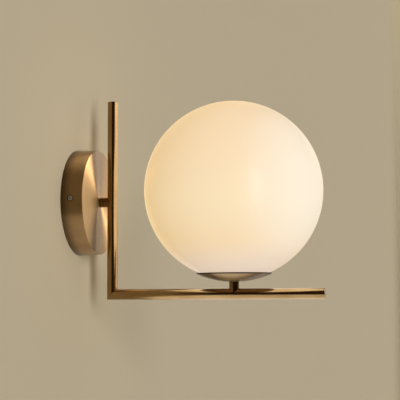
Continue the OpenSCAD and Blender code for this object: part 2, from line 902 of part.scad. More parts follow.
wall_bracket();
earth_screw();
earth_washer();
earth_tag();
earth_lead();
terminal_block();
terminal_inserts();
terminal_screws();
block_screw();
canopy();
canopy_screws();
canopy_nipple();
canopy_washer();
canopy_nut();
standoff();
upright_tube();
upright_cap();
level_tube();
level_cap();
stem();
stem_nipple();
dish();
dish_washer();
dish_nut();
gasket();
gallery_plate();
gallery_springs();
gallery_rivets();
holder_base();
holder_body();
holder_sleeve();
holder_contact();
holder_terminals();
holder_terminal_screws();
live_lead();
neutral_lead();
globe();
bulb_envelope();
bulb_housing();
bulb_cap();
bulb_insulator();
bulb_contact();
bulb_led_board();
bulb_driver_board();
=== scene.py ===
"""Looks of a wall sconce: a round canopy, an L of bronze tube, a dish and a lit opal globe.

Lengths are in metres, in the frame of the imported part: +X points out of the wall and +Z is up.
"""
import json
import math

import bmesh
import bpy
from mathutils import Matrix, Vector

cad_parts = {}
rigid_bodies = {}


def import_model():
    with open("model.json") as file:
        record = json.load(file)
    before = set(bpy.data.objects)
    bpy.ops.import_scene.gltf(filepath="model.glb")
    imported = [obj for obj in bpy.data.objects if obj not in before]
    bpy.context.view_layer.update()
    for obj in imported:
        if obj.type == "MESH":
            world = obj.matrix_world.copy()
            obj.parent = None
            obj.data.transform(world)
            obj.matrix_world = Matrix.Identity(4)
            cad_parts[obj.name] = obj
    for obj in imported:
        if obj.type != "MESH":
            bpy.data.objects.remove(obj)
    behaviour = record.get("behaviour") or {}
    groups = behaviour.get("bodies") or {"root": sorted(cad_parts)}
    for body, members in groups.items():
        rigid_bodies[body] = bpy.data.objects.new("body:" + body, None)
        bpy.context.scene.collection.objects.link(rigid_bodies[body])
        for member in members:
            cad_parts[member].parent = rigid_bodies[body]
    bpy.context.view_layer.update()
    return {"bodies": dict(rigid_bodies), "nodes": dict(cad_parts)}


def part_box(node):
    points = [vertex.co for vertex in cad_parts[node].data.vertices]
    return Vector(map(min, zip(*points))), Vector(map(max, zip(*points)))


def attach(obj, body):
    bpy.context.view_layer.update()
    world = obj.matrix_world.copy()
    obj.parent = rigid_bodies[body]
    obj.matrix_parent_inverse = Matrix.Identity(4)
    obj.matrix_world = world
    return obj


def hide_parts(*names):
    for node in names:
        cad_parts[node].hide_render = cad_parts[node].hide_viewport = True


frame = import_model()
MM = 0.001


# Sizes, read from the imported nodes

def span(node, axis):
    """Lowest and highest reach of a node along one axis."""
    low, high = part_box(node)
    return low["xyz".index(axis)], high["xyz".index(axis)]


def middle(node, axis):
    return sum(span(node, axis)) / 2


def half(node, axis):
    """Half of a node's extent along one axis, which is the radius of a round one."""
    low, high = span(node, axis)
    return (high - low) / 2


SHEET = 1.0 * MM
EASE = 0.1 * MM
CANOPY_R = span("canopy", "y")[1]
CANOPY_DEPTH = span("canopy", "x")[1]
CANOPY_FRONT_R = CANOPY_R - 1.0 * MM
CANOPY_EDGE = 0.8 * MM
SIDE_SCREW_X = middle("canopy_screws", "x")
SIDE_HOLE_R = 2.9 * MM
NIPPLE_HOLE_R = 5.2 * MM
NIPPLE_R = 5.0 * MM
NIPPLE_BORE_R = 3.5 * MM
NIPPLE_PITCH = 1.0 * MM
NUT_HALF_FLATS = 7.0 * MM
NUT_BORE_R = 5.03 * MM

UPRIGHT_X = middle("upright_tube", "x")
TUBE_R = span("upright_tube", "y")[1]
TUBE_BORE_R = TUBE_R - SHEET
TUBE_TOP = span("upright_tube", "z")[1]
LEVEL_Z = middle("level_tube", "z")
LEVEL_END = span("level_tube", "x")[1]
CAP_FLANGE = span("upright_cap", "z")[1] - TUBE_TOP
CAP_SPIGOT = 6.0 * MM
COLLAR_R = span("stem", "y")[1]
COLLAR_BORE_R = 5.03 * MM
WIRE_HOLE_R = 3.5 * MM

GLOBE_X = middle("globe", "x")
GLOBE_R = half("globe", "x")
GLOBE_Z = span("globe", "z")[1] - GLOBE_R
GLASS = 3.0 * MM
MOUTH_R = 28.0 * MM
LAND_R = 30.5 * MM
DISH_R = span("dish", "x")[1] - GLOBE_X
DISH_SEAT_Z = span("dish", "z")[0]
DISH_GAP = 1.2 * MM

BULB_R = half("bulb_envelope", "x")
BULB_TOP = span("bulb_envelope", "z")[1]
BULB_SEAM_Z = span("bulb_envelope", "z")[0]
BULB_WALL = 1.2 * MM
BULB_THREAD_PITCH = 2.82 * MM


# Meshes

SHARP_EDGE = math.radians(34)
STEPS = 96


def angles(steps=STEPS):
    """Evenly spaced angles round a circle."""
    return [2 * math.pi * i / steps for i in range(steps)]


def point_about(axis, centre, radius, angle, height):
    """A point about an upright (Z) or a level (X) axis through the centre."""
    u, v = centre[0] + radius * math.cos(angle), centre[1] + radius * math.sin(angle)
    return (u, v, height) if axis == "Z" else (height, u, v)


def level_rings(profile, axis, centre, steps=STEPS):
    """Circles about an axis from (radius, height) pairs. One whose radius is nil is a single point."""
    return [[point_about(axis, centre, radius, a, height) for a in angles(1 if radius < 1e-9 else steps)]
            for radius, height in profile]


def skin(name, rings):
    """A closed mesh over rings of points, each joined to the next, and the last to the first.

    A ring of one point is a pole. Rings that start at a pole end at another.
    """
    points, starts = [], []
    for ring in rings:
        starts.append(len(points))
        points.extend(ring)
    pairs = list(zip(range(len(rings) - 1), range(1, len(rings))))
    if len(rings[0]) > 1:
        pairs.append((len(rings) - 1, 0))
    faces = []
    for a, b in pairs:
        count = max(len(rings[a]), len(rings[b]))
        for i in range(count):
            j = (i + 1) % count
            corners = []
            for ring, k in ((a, i), (a, j), (b, j), (b, i)):
                corner = starts[ring] + k % len(rings[ring])
                if corner not in corners:
                    corners.append(corner)
            if len(corners) > 2:
                faces.append(corners)
    mesh = bpy.data.meshes.new(name)
    mesh.from_pydata(points, [], faces)
    face_outwards(mesh)
    return mesh


def face_outwards(mesh):
    """Turns a closed mesh right side out, by the sign of its volume."""
    form = bmesh.new()
    form.from_mesh(mesh)
    if form.calc_volume(signed=True) < 0:
        bmesh.ops.reverse_faces(form, faces=form.faces)
    form.to_mesh(mesh)
    form.free()


def turned(name, profile, axis="Z", centre=(0, 0), steps=STEPS):
    """A turned mesh from a profile of (radius, height) pairs."""
    return skin(name, level_rings(profile, axis, centre, steps))


def eased(profile, radius, parts=3):
    """An open profile with its sharp corners rounded, as far as their sides allow."""
    out = [tuple(Vector(profile[0]))]
    for last, point, following in zip(profile, profile[1:], profile[2:]):
        here = Vector(point)
        before, after = Vector(last) - here, Vector(following) - here
        turn = math.pi - before.angle(after)
        if turn < math.radians(25):
            out.append(tuple(here))
            continue
        cut = min(radius * math.tan(min(turn, 2.4) / 2), 0.45 * before.length, 0.45 * after.length)
        start, end = here + before.normalized() * cut, here + after.normalized() * cut
        for k in range(parts + 1):
            t = k / parts
            out.append(tuple((1 - t) ** 2 * start + 2 * t * (1 - t) * here + t * t * end))
    return out + [tuple(Vector(profile[-1]))]


def round_profile(radius, height, first, last, parts):
    """Profile points on a ball of that radius: angles are measured from its top, in radians."""
    turns = [first + (last - first) * i / parts for i in range(parts + 1)]
    return [(max(0.0, radius * math.sin(a)), height + radius * math.cos(a)) for a in turns]


def new_object(name, data):
    thing = bpy.data.objects.new(name, data)
    bpy.context.scene.collection.objects.link(thing)
    return thing


def place(mesh, finish, body, slot, *stands_for):
    """Shades a mesh smooth between its sharp edges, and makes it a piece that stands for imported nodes."""
    mesh.shade_smooth()
    mesh.set_sharp_from_angle(angle=SHARP_EDGE)
    if finish is not None:
        mesh.materials.clear()
        mesh.materials.append(finish)
    piece = new_object(mesh.name.replace(" ", "_"), mesh)
    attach(piece, body)
    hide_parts(*stands_for)
    return piece


def settled(host):
    """The evaluated mesh of a working object, which is then deleted."""
    graph = bpy.context.evaluated_depsgraph_get()
    mesh = bpy.data.meshes.new_from_object(host.evaluated_get(graph), depsgraph=graph)
    name, start = host.data.name, host.data
    bpy.data.objects.remove(host)
    bpy.data.meshes.remove(start)
    mesh.name = name
    return mesh


def drilled(mesh, *holes):
    """The mesh with round holes cut through it. A hole is (centre, direction, radius, length)."""
    host = new_object(mesh.name, mesh)
    drills = []
    for centre, direction, radius, length in holes:
        end = length / 2
        bit = turned("drill", [(0, -end), (radius, -end), (radius, end), (0, end)], steps=48)
        turn = Vector(direction).to_track_quat("Z", "Y").to_matrix().to_4x4()
        bit.transform(Matrix.Translation(centre) @ turn)
        drill = new_object("drill", bit)
        cut = host.modifiers.new("hole", "BOOLEAN")
        cut.operation, cut.solver, cut.object = "DIFFERENCE", "EXACT", drill
        drills.append(drill)
    cut_mesh = settled(host)
    for drill in drills:
        bit = drill.data
        bpy.data.objects.remove(drill)
        bpy.data.meshes.remove(bit)
    return cut_mesh


def smooth_copy(node, name, rounder):
    """A merged copy of a node's mesh, to be shaded smooth, and made rounder where it is a lead."""
    mesh = frame["nodes"][node].data.copy()
    mesh.name = name
    form = bmesh.new()
    form.from_mesh(mesh)
    bmesh.ops.remove_doubles(form, verts=form.verts, dist=1e-7)
    form.to_mesh(mesh)
    form.free()
    if rounder:
        host = new_object(name, mesh)
        swell = host.modifiers.new("round", "SUBSURF")
        swell.levels = swell.render_levels = rounder
        mesh = settled(host)
    return mesh


# Shader groups

def srgb(red, green, blue):
    """A colour as a picture gives it, 0 to 255, made linear."""
    def linear(value):
        value /= 255
        return value / 12.92 if value <= 0.04045 else ((value + 0.055) / 1.055) ** 2.4
    return (linear(red), linear(green), linear(blue), 1.0)


def spaced(values):
    """Keyword names turned into socket names."""
    return {name.replace("_", " "): value for name, value in values.items()}


class Wiring:
    """Adds nodes to a tree and joins them."""

    def __init__(self, tree):
        self.tree = tree

    def add(self, kind, feeds=None, **settings):
        """A new node with its settings, whose inputs take the sockets or the plain values in feeds."""
        node = self.tree.nodes.new(kind)
        for name, value in settings.items():
            setattr(node, name, value)
        for label, value in (feeds or {}).items():
            self.feed(node.inputs[label], value)
        return node

    def join(self, source, target):
        self.tree.links.new(source, target)

    def split(self, vector):
        """The X, Y and Z of a vector, as named sockets."""
        return self.add("ShaderNodeSeparateXYZ", {0: vector}).outputs

    def vector(self, **parts):
        return self.add("ShaderNodeCombineXYZ", parts).outputs[0]

    def math(self, operation, first, second=None, clamp=False):
        node = self.add("ShaderNodeMath", {0: first, 1: second}, operation=operation, use_clamp=clamp)
        return node.outputs[0]

    def times(self, first, second):
        return self.math("MULTIPLY", first, second)

    def plus(self, first, second):
        return self.math("ADD", first, second)

    def minus(self, first, second):
        return self.math("SUBTRACT", first, second)

    def feed(self, socket, value):
        if value is None:
            return
        if isinstance(value, bpy.types.NodeSocket):
            self.join(value, socket)
        else:
            socket.default_value = value

    def spread(self, value, low, high, to_low, to_high, smooth=True):
        feeds = {"Value": value, "From Min": low, "From Max": high, "To Min": to_low, "To Max": to_high}
        kind = "SMOOTHSTEP" if smooth else "LINEAR"
        return self.add("ShaderNodeMapRange", feeds, interpolation_type=kind).outputs["Result"]

    def noise(self, vector, scale, detail, dimensions="3D"):
        feeds = {"W" if dimensions == "1D" else "Vector": vector, "Scale": scale, "Detail": detail}
        return self.add("ShaderNodeTexNoise", feeds, noise_dimensions=dimensions).outputs["Fac"]

    def blend(self, factor, first, second):
        node = self.add("ShaderNodeMix", data_type="RGBA")
        colours = [s for s in node.inputs if s.type == "RGBA"]
        self.feed(node.inputs[0], factor)
        self.feed(colours[0], first)
        self.feed(colours[1], second)
        return [s for s in node.outputs if s.type == "RGBA"][0]


def socket_kind(value):
    """The kind of socket for a plain value. A string names the kind of one that has no value."""
    if isinstance(value, str):
        return value
    if isinstance(value, tuple):
        return "Color" if len(value) == 4 else "Vector"
    return "Int" if isinstance(value, int) else "Float"


class Group(Wiring):
    """A node group whose named inputs are read as group[label], and whose outputs are fed by give."""

    def __init__(self, kind, name, gives, takes):
        super().__init__(bpy.data.node_groups.new(name, kind + "NodeTree"))
        for way, sockets in (("INPUT", takes), ("OUTPUT", gives)):
            for label, value in sockets.items():
                socket = self.tree.interface.new_socket(
                    label, in_out=way, socket_type="NodeSocket" + socket_kind(value))
                if not isinstance(value, str):
                    socket.default_value = value
        self.takes = self.add("NodeGroupInput")
        self.gives = self.add("NodeGroupOutput")

    def __getitem__(self, label):
        return self.takes.outputs[label]

    def give(self, label, source):
        self.join(source, self.gives.inputs[label])


def build_tarnish():
    """Bronze that has browned in soft patches, with a few darker specks."""
    g = Group("Shader", "tarnish", {"Color": "Color", "Dullness": "Float"}, {
        "Vector": "Vector", "Patch scale": 30.0, "Amount": 0.5,
        "Bright": (0.5, 0.37, 0.2, 1), "Browned": (0.3, 0.2, 0.1, 1)})
    mask = g.spread(g.noise(g["Vector"], g["Patch scale"], 4.0), 0.35, 0.7, 0.0, 1.0)
    specks = g.noise(g["Vector"], g.times(g["Patch scale"], 22.0), 2.0)
    dots = g.spread(specks, 0.68, 0.76, 0.0, 0.5)
    browned = g.math("ADD", g.times(mask, g["Amount"]), dots, clamp=True)
    g.give("Color", g.blend(browned, g["Bright"], g["Browned"]))
    g.give("Dullness", browned)
    return g.tree


class Lines(Group):
    """A group for fine lines, which gives their height and the coarser of them."""

    def __init__(self, name):
        super().__init__("Shader", name, {"Height": "Float", "Streak": "Float"},
                         {"Vector": "Vector", "Lines per metre": 4000.0})

    def close(self, fine, coarse):
        self.give("Height", self.plus(self.times(fine, 0.6), self.times(coarse, 0.4)))
        self.give("Streak", coarse)
        return self.tree


def build_spun_lines():
    """Fine rings round an axis that runs along the vector's Z, as a lathe's abrasive leaves them."""
    g = Lines("spun lines")
    parts = g.split(g["Vector"])
    across = g.vector(X=parts["X"], Y=parts["Y"])
    reach = g.add("ShaderNodeVectorMath", {0: across}, operation="LENGTH").outputs["Value"]
    wander = g.times(g.noise(g["Vector"], 9.0, 1.0), 0.9 * MM)
    place_on = g.plus(g.plus(reach, wander), parts["Z"])
    fine = g.noise(place_on, g["Lines per metre"], 2.0, "1D")
    coarse = g.noise(place_on, g.times(g["Lines per metre"], 0.13), 2.0, "1D")
    return g.close(fine, coarse)


def build_drawn_lines():
    """Faint lines along a drawn or brushed length, which runs along the vector's Z."""
    g = Lines("drawn lines")
    pull = g.add("ShaderNodeMapping", {"Vector": g["Vector"], "Scale": (1.0, 1.0, 0.02)}).outputs[0]
    fine = g.noise(pull, g["Lines per metre"], 2.0)
    coarse = g.noise(pull, g.times(g["Lines per metre"], 0.2), 2.0)
    return g.close(fine, coarse)


TARNISH = build_tarnish()
SPUN_LINES = build_spun_lines()
DRAWN_LINES = build_drawn_lines()


# Finishes

class Finish(Wiring):
    """A material with its Principled shader, whose plain values are set on the shader's own sockets."""

    def __init__(self, name, **values):
        self.material = bpy.data.materials.new(name)
        self.material.use_nodes = True
        super().__init__(self.material.node_tree)
        self.tree.nodes.clear()
        self.shader = self.add("ShaderNodeBsdfPrincipled")
        self.output = self.add("ShaderNodeOutputMaterial")
        self.join(self.shader.outputs[0], self.output.inputs["Surface"])
        for label, value in spaced(values).items():
            self.shader.inputs[label].default_value = value
        self.spot = self.add("ShaderNodeTexCoord").outputs["Object"]

    def group(self, tree, **values):
        return self.add("ShaderNodeGroup", spaced(values), node_tree=tree)

    def shows(self, label, source):
        """Feeds one of the shader's inputs."""
        self.join(source, self.shader.inputs[label])

    def cloud(self, scale, detail, low, high, to_low=0.0, to_high=1.0):
        """Soft patches all over the piece."""
        return self.spread(self.noise(self.spot, scale, detail), low, high, to_low, to_high)

    def turned_spot(self, centre, turn=(0, 0, 0)):
        """Object coordinates about a centre, turned so that the piece's axis is Z."""
        shift = Matrix.Rotation(turn[1], 3, "Y") @ Vector(centre)
        feeds = {"Vector": self.spot, "Rotation": turn, "Location": -shift}
        return self.add("ShaderNodeMapping", feeds).outputs[0]

    def bump(self, height, strength, distance):
        feeds = {"Height": height, "Strength": strength, "Distance": distance}
        self.shows("Normal", self.add("ShaderNodeBump", feeds).outputs[0])


ALONG_X = (0, math.radians(-90), 0)
BRONZE_BRIGHT = srgb(152, 121, 79)
BRONZE_BROWNED = srgb(126, 93, 57)
# Dark brown painted into the bronze where shade falls: round the set screws, by the wall, under the glass and
# on the short tubes.
PAINTED_SHADE = srgb(38, 24, 12)


def painted_shade_at_screws_and_wall(f, colour):
    """Paints shade into the canopy's colour: a dark ring round each set screw for the shadow in the gap round
    it, and a darkening towards the edge on the wall.
    """
    parts = f.split(f.spot)
    along = f.minus(parts["X"], SIDE_SCREW_X)
    apart = f.math("SQRT", f.plus(f.times(along, along), f.times(parts["Z"], parts["Z"])))
    ring = f.spread(apart, SIDE_HOLE_R, 4.0 * MM, 0.85, 0.0)
    wall_side_shade = f.spread(parts["X"], 0.0, 13 * MM, 0.7, 0.0)
    return f.blend(f.math("MAXIMUM", ring, wall_side_shade), colour, PAINTED_SHADE)


def under_the_glass(f, colour):
    """Darkens the top of the dish's rim, which stands in the glass's shade."""
    parts = f.split(f.spot)
    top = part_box("dish")[1].z
    line = f.spread(parts["Z"], top - 1.6 * MM, top - 0.9 * MM, 0.0, 0.85)
    return f.blend(line, colour, PAINTED_SHADE)


def painted_shade_on_short_tubes(f, colour):
    """A darker colour for the short tubes: painted shade, for the standoff in the shade between the canopy
    and the upright and the stem in the shade under the dish.
    """
    return f.blend(0.45, colour, PAINTED_SHADE)


def bronze(name, lines, centre, rough, turn=(0, 0, 0), tarnish=0.5, bump=0.1, around=None, edge=1.0,
           lacquer=0.12, darker=None):
    """Aged bronze: tarnish colours it, and fine lines make it satin and may spread light round an axis."""
    f = Finish(name, Metallic=1.0, Specular_Tint=(edge, edge, edge, 1.0), Coat_Weight=lacquer,
               Coat_Roughness=rough)
    worn = f.group(TARNISH, Vector=f.spot, Patch_scale=28.0, Amount=tarnish,
                   Bright=BRONZE_BRIGHT, Browned=BRONZE_BROWNED)
    marks = f.group(lines, Vector=f.turned_spot(centre, turn), Lines_per_metre=4000.0)
    colour = worn.outputs["Color"]
    # darker, where given, paints shade into the colour.
    f.shows("Base Color", darker(f, colour) if darker else colour)
    satin = f.spread(marks.outputs["Streak"], 0.3, 0.7, rough - 0.03, rough + 0.04)
    f.shows("Roughness", f.plus(satin, f.times(worn.outputs["Dullness"], 0.06)))
    f.bump(marks.outputs["Height"], bump, 0.02 * MM)
    if around:
        f.shader.inputs["Anisotropic"].default_value = 0.9
        f.shader.inputs["Anisotropic Rotation"].default_value = 0.25
        f.shows("Tangent", f.add("ShaderNodeTangent", direction_type="RADIAL", axis=around).outputs[0])
    return f.material


def plain_metal(name, colour, rough):
    """A plated or turned metal with a faint cloudiness in its gloss."""
    f = Finish(name, Metallic=1.0, Base_Color=colour)
    f.shows("Roughness", f.cloud(60.0, 4.0, 0.3, 0.7, rough - 0.05, rough + 0.05))
    return f.material


def zinc_plate():
    """Bright zinc: pale blue steel with a faint warm cast in patches."""
    f = Finish("zinc plated steel", Metallic=1.0)
    cloud = f.cloud(90.0, 3.0, 0.35, 0.65)
    f.shows("Base Color", f.blend(cloud, srgb(176, 180, 185), srgb(186, 180, 166)))
    f.shows("Roughness", f.spread(cloud, 0.0, 1.0, 0.3, 0.4))
    return f.material


# GLASS_WARM is the glow itself; the other three paint light and shade into it.
GLASS_WARM = srgb(255, 216, 157)
GLASS_SHADED_LOW = srgb(242, 217, 194)
GLASS_BULB_GLOW = srgb(255, 228, 172)
GLASS_DAYLIT_SIDE = srgb(255, 240, 218)


def lit_opal():
    """Opal glass lit from inside, its glow in the emission: warm, with a painted pool of light at the bulb's
    height, a painted daylight highlight paler on the front away from the wall, and painted shade, greyer, low
    down where the holder and dish block the bulb.
    """
    f = Finish("lit opal glass", Base_Color=srgb(160, 158, 154), Roughness=0.22, IOR=1.5,
               Emission_Strength=0.65)
    parts = f.split(f.turned_spot((GLOBE_X, 0, GLOBE_Z)))
    rise = f.math("DIVIDE", parts["Z"], GLOBE_R)
    # Painted shade: greyer low down, where the holder and dish keep the bulb's light off the glass.
    low = f.spread(rise, -0.93, -0.55, 1.0, 0.0)
    # Painted light: a brighter band at the bulb's height.
    level = f.math("ABSOLUTE", f.plus(rise, 0.2))
    bulb_glow_band = f.spread(level, 0.0, 0.6, 0.5, 0.0)
    # Painted light: paler towards the front away from the wall, for daylight falling on that side.
    side = f.spread(f.math("DIVIDE", parts["X"], GLOBE_R), 0.1, 1.0, 0.0, 0.8)
    warm = f.blend(side, f.blend(bulb_glow_band, GLASS_WARM, GLASS_BULB_GLOW), GLASS_DAYLIT_SIDE)
    f.shows("Emission Color", f.blend(low, warm, GLASS_SHADED_LOW))
    ground = f.cloud(2500.0, 2.0, 0.3, 0.7, 0.55, 0.7)
    on_land = f.spread(parts["Z"], -95.5 * MM, -94.9 * MM, 1.0, 0.0, smooth=False)
    f.shows("Roughness", f.math("ADD", f.times(on_land, ground), 0.2, clamp=True))
    return f.material


def lit_bulb():
    """The bulb's matt envelope, lit, and warmer near its seam."""
    f = Finish("bulb envelope", Base_Color=srgb(150, 148, 142), Roughness=0.45, Emission_Strength=0.8)
    parts = f.split(f.spot)
    low = f.spread(parts["Z"], BULB_SEAM_Z, BULB_SEAM_Z + 14 * MM, 1.0, 0.0)
    f.shows("Emission Color", f.blend(low, srgb(255, 236, 200), srgb(255, 214, 160)))
    return f.material


def glazed(name, colour, speck):
    """Glazed ceramic with a slow wave in its glaze."""
    f = Finish(name, Roughness=0.16, Coat_Weight=0.4, Coat_Roughness=0.08)
    f.shows("Base Color", f.blend(f.cloud(140.0, 4.0, 0.4, 0.75), colour, speck))
    f.bump(f.noise(f.spot, 260.0, 1.0), 0.12, 0.1 * MM)
    return f.material


def moulded(name, colour, shade, rough):
    """Moulded plastic or rubber with a fine grain."""
    f = Finish(name)
    cloud = f.cloud(70.0, 3.0, 0.3, 0.7)
    f.shows("Base Color", f.blend(cloud, colour, shade))
    f.shows("Roughness", f.spread(cloud, 0.0, 1.0, rough - 0.04, rough + 0.04))
    f.bump(f.noise(f.spot, 900.0, 3.0), 0.1, 0.05 * MM)
    return f.material


def circuit_board(name, mask_colour, pad_colour, pitch):
    """Solder mask with rows of plain pads."""
    f = Finish(name, Roughness=0.35)
    feeds = {"Vector": f.spot, "Scale": 1 / pitch, "Randomness": 0.35}
    dots = f.add("ShaderNodeTexVoronoi", feeds, feature="F1")
    pads = f.spread(dots.outputs["Distance"], 0.16, 0.2, 1.0, 0.0, smooth=False)
    f.shows("Base Color", f.blend(pads, mask_colour, pad_colour))
    return f.material


def striped_insulation():
    """Green insulation with a yellow stripe on each side."""
    f = Finish("green and yellow insulation", Roughness=0.45)
    stripe = f.math("PINGPONG", f.times(f.split(f.spot)["X"], 1 / (1.6 * MM)), 1.0)
    mask = f.spread(stripe, 0.45, 0.55, 0.0, 1.0, smooth=False)
    f.shows("Base Color", f.blend(mask, srgb(60, 120, 52), srgb(214, 196, 50)))
    return f.material


TUBE_UP = bronze("satin bronze, upright", DRAWN_LINES, (UPRIGHT_X, 0, 0), 0.17)
TUBE_LEVEL = bronze("satin bronze, level", DRAWN_LINES, (0, 0, LEVEL_Z), 0.17, ALONG_X)
STANDOFF = bronze("satin bronze, standoff", DRAWN_LINES, (0, 0, 0), 0.2, ALONG_X, darker=painted_shade_on_short_tubes)
STEM = bronze("satin bronze, stem", DRAWN_LINES, (GLOBE_X, 0, 0), 0.2, darker=painted_shade_on_short_tubes)
SPUN_CANOPY = bronze("spun bronze, canopy", SPUN_LINES, (0, 0, 0), 0.4, ALONG_X,
                     tarnish=0.35, bump=0.2, around="X", darker=painted_shade_at_screws_and_wall)
SPUN_DISH = bronze("spun bronze, dish", SPUN_LINES, (GLOBE_X, 0, 0), 0.27, tarnish=0.4, bump=0.06,
                   around="Z", edge=0.35, lacquer=0.4, darker=under_the_glass)
TURNED_BRASS = plain_metal("turned brass", srgb(214, 184, 120), 0.28)
ZINC = zinc_plate()
SPRING = plain_metal("spring steel", srgb(176, 176, 180), 0.32)
NICKEL = plain_metal("nickel plate", srgb(170, 166, 156), 0.26)
OPAL = lit_opal()
BULB_OPAL = lit_bulb()
PORCELAIN = glazed("porcelain", srgb(238, 234, 224), srgb(228, 222, 208))
BLACK_GLAZE = glazed("black glass", srgb(22, 21, 22), srgb(34, 32, 30))
WHITE_PLASTIC = moulded("white plastic", srgb(236, 235, 231), srgb(228, 226, 219), 0.38)
SILICONE = moulded("silicone", srgb(214, 214, 210), srgb(204, 203, 198), 0.6)
BROWN_LEAD = moulded("brown insulation", srgb(112, 66, 38), srgb(98, 56, 32), 0.45)
BLUE_LEAD = moulded("blue insulation", srgb(50, 92, 168), srgb(42, 80, 152), 0.45)
WHITE_BOARD = circuit_board("white board", srgb(236, 236, 232), srgb(190, 186, 170), 5 * MM)
GREEN_BOARD = circuit_board("green board", srgb(44, 98, 66), srgb(186, 182, 160), 3 * MM)
EARTH_LEAD = striped_insulation()


# The canopy and what holds it

def make_canopy():
    """A pressed cup with a slight draft, a small edge radius and a hole for the nipple."""
    inner = CANOPY_DEPTH - SHEET
    slope = (CANOPY_R - CANOPY_FRONT_R) / CANOPY_DEPTH
    edge_r, edge_x = CANOPY_FRONT_R - CANOPY_EDGE, CANOPY_DEPTH - CANOPY_EDGE
    edge = [(edge_r + CANOPY_EDGE * math.cos(a), edge_x + CANOPY_EDGE * math.sin(a))
            for a in [math.radians(15 * i) for i in range(7)]]
    rim = [(CANOPY_R - SHEET, 0), (CANOPY_R - 0.15 * MM, 0), (CANOPY_R, 0.15 * MM)]
    face = [(r * CANOPY_FRONT_R, CANOPY_DEPTH) for r in (0.95, 0.8, 0.6, 0.4, 0.2)]
    hole = [(NIPPLE_HOLE_R + EASE, CANOPY_DEPTH), (NIPPLE_HOLE_R, CANOPY_DEPTH - EASE),
            (NIPPLE_HOLE_R, inner)]
    inner_r = CANOPY_R - SHEET - slope * inner
    back = [(inner_r - 0.5 * MM, inner), (inner_r, inner - 0.5 * MM)]
    mesh = turned("canopy cup", rim + edge + face + hole + back, "X", steps=192)
    sides = [((SIDE_SCREW_X, side * CANOPY_R, 0), (0, 1, 0), SIDE_HOLE_R, 10 * MM) for side in (-1, 1)]
    mesh = drilled(mesh, *sides)
    place(mesh, SPUN_CANOPY, "frame", "brass_spun", "canopy")


def coped_rings(inwards):
    """Rings of a short tube that ends on the side of one of the two tubes, with a small fillet of solder.

    Each point is (distance along the short tube from the other tube's axis, radius, angle).
    """
    def seat(radius, a):
        return math.sqrt(TUBE_R ** 2 - (radius * math.sin(a)) ** 2)

    rings = []
    for k in range(5):
        bend = math.radians(90 * (1 - k / 4))
        ring = []
        for a in angles():
            fillet = (0.12 + 0.5 * math.cos(a) ** 2) * MM
            radius = COLLAR_R + fillet * (1 - math.cos(bend))
            ring.append((seat(radius, a) + fillet * (1 - math.sin(bend)), radius, a))
        rings.append(ring)
    for reach, radius in ((inwards - EASE, COLLAR_R), (inwards, COLLAR_R - EASE), (inwards, COLLAR_BORE_R)):
        rings.append([(reach, radius, a) for a in angles()])
    rings.append([(seat(COLLAR_BORE_R, a), COLLAR_BORE_R, a) for a in angles()])
    return rings


def make_standoff():
    """The short tube between the canopy's face and the upright tube."""
    rings = [[(UPRIGHT_X - d, r * math.sin(a), r * math.cos(a)) for d, r, a in ring]
             for ring in coped_rings(UPRIGHT_X - CANOPY_DEPTH)]
    place(skin("standoff tube", rings), STANDOFF, "frame", "brass_satin", "standoff")


def make_stem():
    """The short tube between the level tube and the dish."""
    rings = [[(GLOBE_X + r * math.cos(a), r * math.sin(a), LEVEL_Z + d) for d, r, a in ring]
             for ring in coped_rings(DISH_SEAT_Z - LEVEL_Z)]
    place(skin("stem tube", rings), STEM, "frame", "brass_satin", "stem")


# The tube frame

def mitred_ring(radius, lift=0.0, along="up"):
    """A ring of a tube cut along the mitre, where the two tubes' axes meet at 45 degrees."""
    ring = []
    for a in angles():
        u, y = radius * math.cos(a), radius * math.sin(a)
        if along == "up":
            ring.append((UPRIGHT_X + u, y, LEVEL_Z + u + lift))
        else:
            ring.append((UPRIGHT_X + u + lift, y, LEVEL_Z + u))
    return ring


def make_upright_tube():
    end = [(TUBE_R, TUBE_TOP - EASE), (TUBE_R - EASE, TUBE_TOP), (TUBE_BORE_R, TUBE_TOP)]
    rings = [mitred_ring(TUBE_R - EASE), mitred_ring(TUBE_R, EASE)]
    rings += level_rings(end, "Z", (UPRIGHT_X, 0)) + [mitred_ring(TUBE_BORE_R)]
    mesh = skin("upright pipe", rings)
    mesh = drilled(mesh, ((UPRIGHT_X - TUBE_R, 0, 0), (1, 0, 0), WIRE_HOLE_R, TUBE_R))
    place(mesh, TUBE_UP, "frame", "brass_satin", "upright_tube")


def make_level_tube():
    def end_ring(radius, x):
        return [(x, radius * math.sin(a), LEVEL_Z + radius * math.cos(a)) for a in angles()]

    rings = [
        mitred_ring(TUBE_R - EASE, along="level"), mitred_ring(TUBE_R, EASE, along="level"),
        end_ring(TUBE_R, LEVEL_END - EASE), end_ring(TUBE_R - EASE, LEVEL_END),
        end_ring(TUBE_BORE_R, LEVEL_END), mitred_ring(TUBE_BORE_R, along="level")]
    mesh = skin("level pipe", rings)
    mesh = drilled(mesh, ((GLOBE_X, 0, LEVEL_Z + TUBE_R), (0, 0, 1), WIRE_HOLE_R, TUBE_R))
    place(mesh, TUBE_LEVEL, "frame", "brass_satin", "level_tube")


